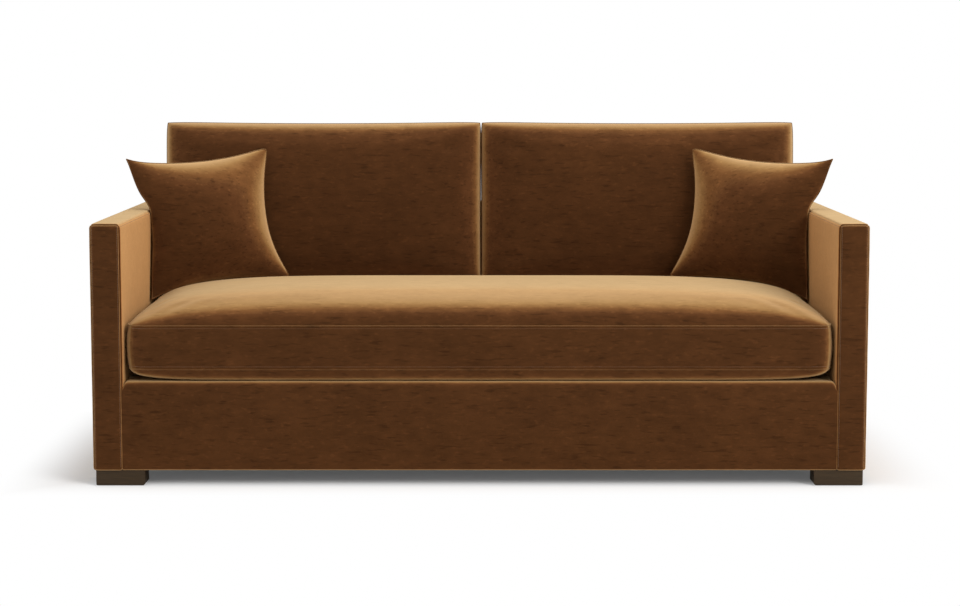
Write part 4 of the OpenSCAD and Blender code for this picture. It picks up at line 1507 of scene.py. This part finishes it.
def turner(axis: int, degrees: float) -> Array:
    """Matrix that turns row vectors about an axis, counter-clockwise seen from its tip.

    Args:
        axis: 0, 1 or 2.
        degrees: Angle of the turn.

    Returns:
        Array of shape (3, 3), to stand behind the vectors in a product.
    """
    a = math.radians(degrees)
    i, j = [(1, 2), (2, 0), (0, 1)][axis]
    m = np.eye(3)
    m[i, i] = m[j, j] = math.cos(a)
    m[i, j], m[j, i] = math.sin(a), -math.sin(a)
    return m


@dataclass
class LooseCushions:
    """The two back cushions and the two throw pillows.

    Attributes:
        back_half: Half thickness and half height of a back cushion.
        back_foot: Depth and height of the lower edge of its middle plane.
        back_fit: How much wider half of a back cushion is than its node, and how far
            it stands outwards from it, for the left and the right one.
        pillow_half: Half width, thickness and height of a pillow.
        pillow_middle: Middle of the right pillow.
        pillow_turns: Turns of the right pillow about Y, X and Z, in degrees.
        margin: Distance between a pillow's limit and the inside of the arm.
        rise: How far the limit bends out for each unit of height over the arm.
        bend: Rounding of the limit's bend, which lies half as much again over the arm.
        meet: Rounding where a pillow meets the limit.
    """

    back_half: tuple[float, float] = (95 * MM, 237.0 * MM)
    back_foot: tuple[float, float] = (0.2809, 0.4402)
    back_fit: tuple[tuple[float, float], tuple[float, float]] = (
        (1.6 * MM, -4 * MM), (-1.7 * MM, 1.4 * MM))
    pillow_half: Point = (207 * MM, 73 * MM, 189 * MM)
    pillow_middle: Point = (0.7462, 0.1082, 0.6411)
    pillow_turns: Point = (4.8, -10, -27)
    margin: float = 2 * MM
    rise: float = 0.9
    bend: float = 8 * MM
    meet: float = 4 * MM

    def backs(self) -> None:
        """Show the back cushions, which stand on the seat and lean on the inside back."""
        turn = turner(0, -BACK_LEAN)
        for side in Side:
            low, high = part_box(f"back_cushion_cover_{side.word}")
            wider, shift = self.back_fit[0 if side is Side.LEFT else 1]
            half = ((high.x - low.x) / 2 + wider, *self.back_half)
            centre = np.array([(abs(low.x) + abs(high.x)) / 2 + shift, *self.back_foot])
            middle = centre + np.array([0, 0, half[2]]) @ turn
            cushion = KnifeEdge(f"back_cushion_{side.word}", half, draws=(1 * MM, 1 * MM, 5 * MM),
                                powers=(12.0, 10.0), edge=0.62, ears=(-3 * MM, -3 * MM),
                                pitch=10 * MM, filling=Filling(stiffness=60.0),
                                caps=(4 * MM, 0.3 * MM))
            cushion.build(lambda p, m=middle: p @ turn + m, f"back_{side.word}",
                          FINISHES.back.material(),
                          (f"back_cushion_cover_{side.word}", f"back_cushion_fill_{side.word}"),
                          side is Side.LEFT)

    def pillows(self) -> None:
        """Show the throw pillows in the corners."""
        roll, lean, yaw = self.pillow_turns
        turn = turner(1, roll) @ turner(0, lean) @ turner(2, yaw)
        middle = np.array(self.pillow_middle)
        for side in Side:
            pillow = KnifeEdge(f"pillow_{side.word}", self.pillow_half,
                               draws=(27 * MM, 44 * MM, 22 * MM), powers=(2.3, 2.3),
                               ears=(8 * MM, -8 * MM), pinch=(0.12, -0.12), roundness=0.68,
                               taper=10 * MM, spill=9 * MM, pitch=8 * MM,
                               filling=Filling(stiffness=40.0), caps=(16 * MM, 1 * MM))
            pillow.build(lambda p: self.pressed(p @ turn + middle), f"pillow_{side.word}",
                         FINISHES.pillow.material(),
                         (f"pillow_cover_{side.word}", f"pillow_fill_{side.word}"),
                         side is Side.LEFT)

    def pressed(self, points: Array) -> Array:
        """Points of a pillow, pressed flat where it lies against the inside of the arm.

        Below the arm's top X ends at the limit, a margin before the arm; above it the
        limit moves out with the height. Both the limit's bend and the meeting with
        the limit are rounded by width * log(1 + e ** (excess / width)).

        Args:
            points: Points of the right pillow, with coordinates along the last axis.

        Returns:
            Array of the same shape.
        """
        arm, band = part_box("inside_arm_cover_right")[0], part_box("arm_band_right")[1]
        start = band.z + 1.5 * self.bend
        above = self.bend * np.logaddexp(0, (points[..., 2] - start) / self.bend)
        excess = points[..., 0] - (arm.x - self.margin + self.rise * above)
        x = points[..., 0] - self.meet * np.logaddexp(0, excess / self.meet)
        return np.concatenate([x[..., None], points[..., 1:]], axis=-1)

    def build(self) -> None:
        """Show all four."""
        self.backs()
        self.pillows()


# Frame, room and camera


@dataclass
class Joinery:
    """The nodes of the frame that stay as they are, in their own finishes."""

    nodes: dict[str, bpy.types.Object]

    def build(self) -> None:
        """Put a finish on each node by the slot that its material names."""
        finishes = {
            "walnut": FINISHES.walnut, "lumber": FINISHES.lumber, "hardboard": FINISHES.hardboard,
            "steel": FINISHES.steel, "tie_wire": FINISHES.paper, "felt": FINISHES.felt,
            "zip": FINISHES.nylon, "velvet": FINISHES.body, "foam": FINISHES.felt,
            "wadding": FINISHES.felt}
        for node in self.nodes.values():
            for place, material in enumerate(node.data.materials):
                node.data.materials[place] = finishes[material.name.split(".")[0]].material()


@dataclass
class Studio:
    """Pale floor, soft lights and the camera.

    Attributes:
        reach: How far the sofa's shadow is kept past its sides and its rear.
        fade: Distances from there at which the white starts and is full.
        veil: Share of white inside the shadow.
        room: Strength of the even light.
        lens: Focal length and sensor width in millimetres, and sideways shift.
        place: Place of the camera.
        tilt: Its downward tilt in degrees.
    """

    reach: float = 0.12
    fade: tuple[float, float] = (-0.09, 0.145)
    veil: float = 0.07
    room: float = 0.80
    lens: tuple[float, float, float] = (82.7, 36.0, 0.0005)
    place: Point = (0.0, -6.06, 1.075)
    tilt: float = 6.17

    def floor(self) -> None:
        """Lay a floor that fades to white where the sofa's shadow ends.

        The share of white rises smoothly with the distance from the sofa's outline,
        which starts farther out at the sides and the rear than at the front.
        """
        g = Graph("floor")
        ground = g.node("ShaderNodeBsdfDiffuse", None,
                        {"Color": (0.845, 0.86, 0.885), "Roughness": 0.3})
        white = g.node("ShaderNodeEmission", None, {"Color": (1.0, 1.0, 1.0), "Strength": 1.0})
        place = g.node("ShaderNodeTexCoord").outputs["Object"]
        axes = g.node("ShaderNodeSeparateXYZ", None, {0: place}).outputs
        x, y = Value(g, axes["X"]), Value(g, axes["Y"])
        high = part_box("outside_back_cover")[1]
        side = g.math("ABSOLUTE", x, 0.0) - (high.x + self.reach)
        ends = g.math("MAXIMUM", y * -1.0 - high.y, y - (high.y + self.reach))
        faded = g.math("MAXIMUM", side, ends).spread(*self.fade)
        white_share = faded * (1 - self.veil) + self.veil
        camera = Value(g, g.node("ShaderNodeLightPath").outputs["Is Camera Ray"])
        both = g.node("ShaderNodeMixShader", None, {0: white_share * camera, 1: ground.outputs[0],
                                                    2: white.outputs[0]})
        g.node("ShaderNodeOutputMaterial", None, {"Surface": both.outputs[0]})
        x = np.linspace(-14, 14, 3)
        grid = np.stack(np.meshgrid(x, x, indexing="ij") + [np.zeros((3, 3))], axis=-1)
        plane = Surface.grid(grid).facing(np.array([0, 0, -1.0])).object("floor", g.material)
        plane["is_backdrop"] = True

    def world(self) -> None:
        """Set an even pale room that the camera sees as white."""
        world = bpy.data.worlds.new("room")
        bpy.context.scene.world = world
        world.use_nodes = True
        tree = world.node_tree
        tree.nodes.clear()
        path = tree.nodes.new("ShaderNodeLightPath")
        soft, white = (tree.nodes.new("ShaderNodeBackground") for _ in range(2))
        soft.inputs["Color"].default_value = (1.0, 0.985, 0.96, 1.0)
        soft.inputs["Strength"].default_value = self.room
        white.inputs["Color"].default_value = (1.0, 1.0, 1.0, 1.0)
        mix = tree.nodes.new("ShaderNodeMixShader")
        end = tree.nodes.new("ShaderNodeOutputWorld")
        tree.links.new(path.outputs["Is Camera Ray"], mix.inputs[0])
        tree.links.new(soft.outputs[0], mix.inputs[1])
        tree.links.new(white.outputs[0], mix.inputs[2])
        tree.links.new(mix.outputs[0], end.inputs[0])

    def lamp(self, name: str, place: Point, aim: Point, size: float, power: float,
             colour: Colour = (1.0, 0.97, 0.93)) -> None:
        """Hang a square area light.

        Args:
            name: Name of the light.
            place: Its middle.
            aim: Point it faces.
            size: Its side.
            power: Power in watts.
            colour: Its colour.
        """
        light = bpy.data.lights.new(name, "AREA")
        light.shape, light.size, light.energy, light.color = "SQUARE", size, power, colour
        lamp = bpy.data.objects.new(name, light)
        lamp.location = place
        way = np.array(aim) - np.array(place)
        lamp.rotation_euler = (math.atan2(math.hypot(way[0], way[1]), -way[2]), 0,
                               math.atan2(way[1], way[0]) - math.pi / 2)
        bpy.context.scene.collection.objects.link(lamp)

    def camera(self) -> None:
        """Set the camera as the photograph has it."""
        lens = bpy.data.cameras.new("camera")
        lens.lens, lens.sensor_width, lens.shift_x = self.lens
        camera = bpy.data.objects.new("camera", lens)
        camera.location = self.place
        camera.rotation_euler = (math.radians(90 - self.tilt), 0, 0)
        bpy.context.scene.collection.objects.link(camera)
        bpy.context.scene.camera = camera

    def build(self) -> None:
        """Set up the whole room."""
        self.floor()
        self.world()
        self.lamp("key", (5.7, -6.3, 4.9), aim=(0.0, 0.0, 0.4), size=3.9, power=415.0)
        self.lamp("top", (0.6, -0.4, 3.6), aim=(0.0, 0.0, 0.3), size=3.0, power=25.0)
        self.camera()
        bpy.context.scene.view_settings.view_transform = "Standard"


def plain(value: object) -> object:
    """Vectors and tuples as plain lists."""
    return [plain(v) if hasattr(v, "__len__") else float(v) for v in value]


def main() -> None:
    """Build the sofa's looks round the frame."""
    logging.basicConfig(level=logging.INFO, format="%(name)s: %(message)s")
    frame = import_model()
    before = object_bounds()
    Joinery(frame["nodes"]).build()
    Body.measured().build()
    SeatCushion.measured().build()
    LooseCushions().build()
    Studio().build()
    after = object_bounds()
    {"frame": plain(before), "looks": plain(after)}


if __name__ == "__main__":
    main()
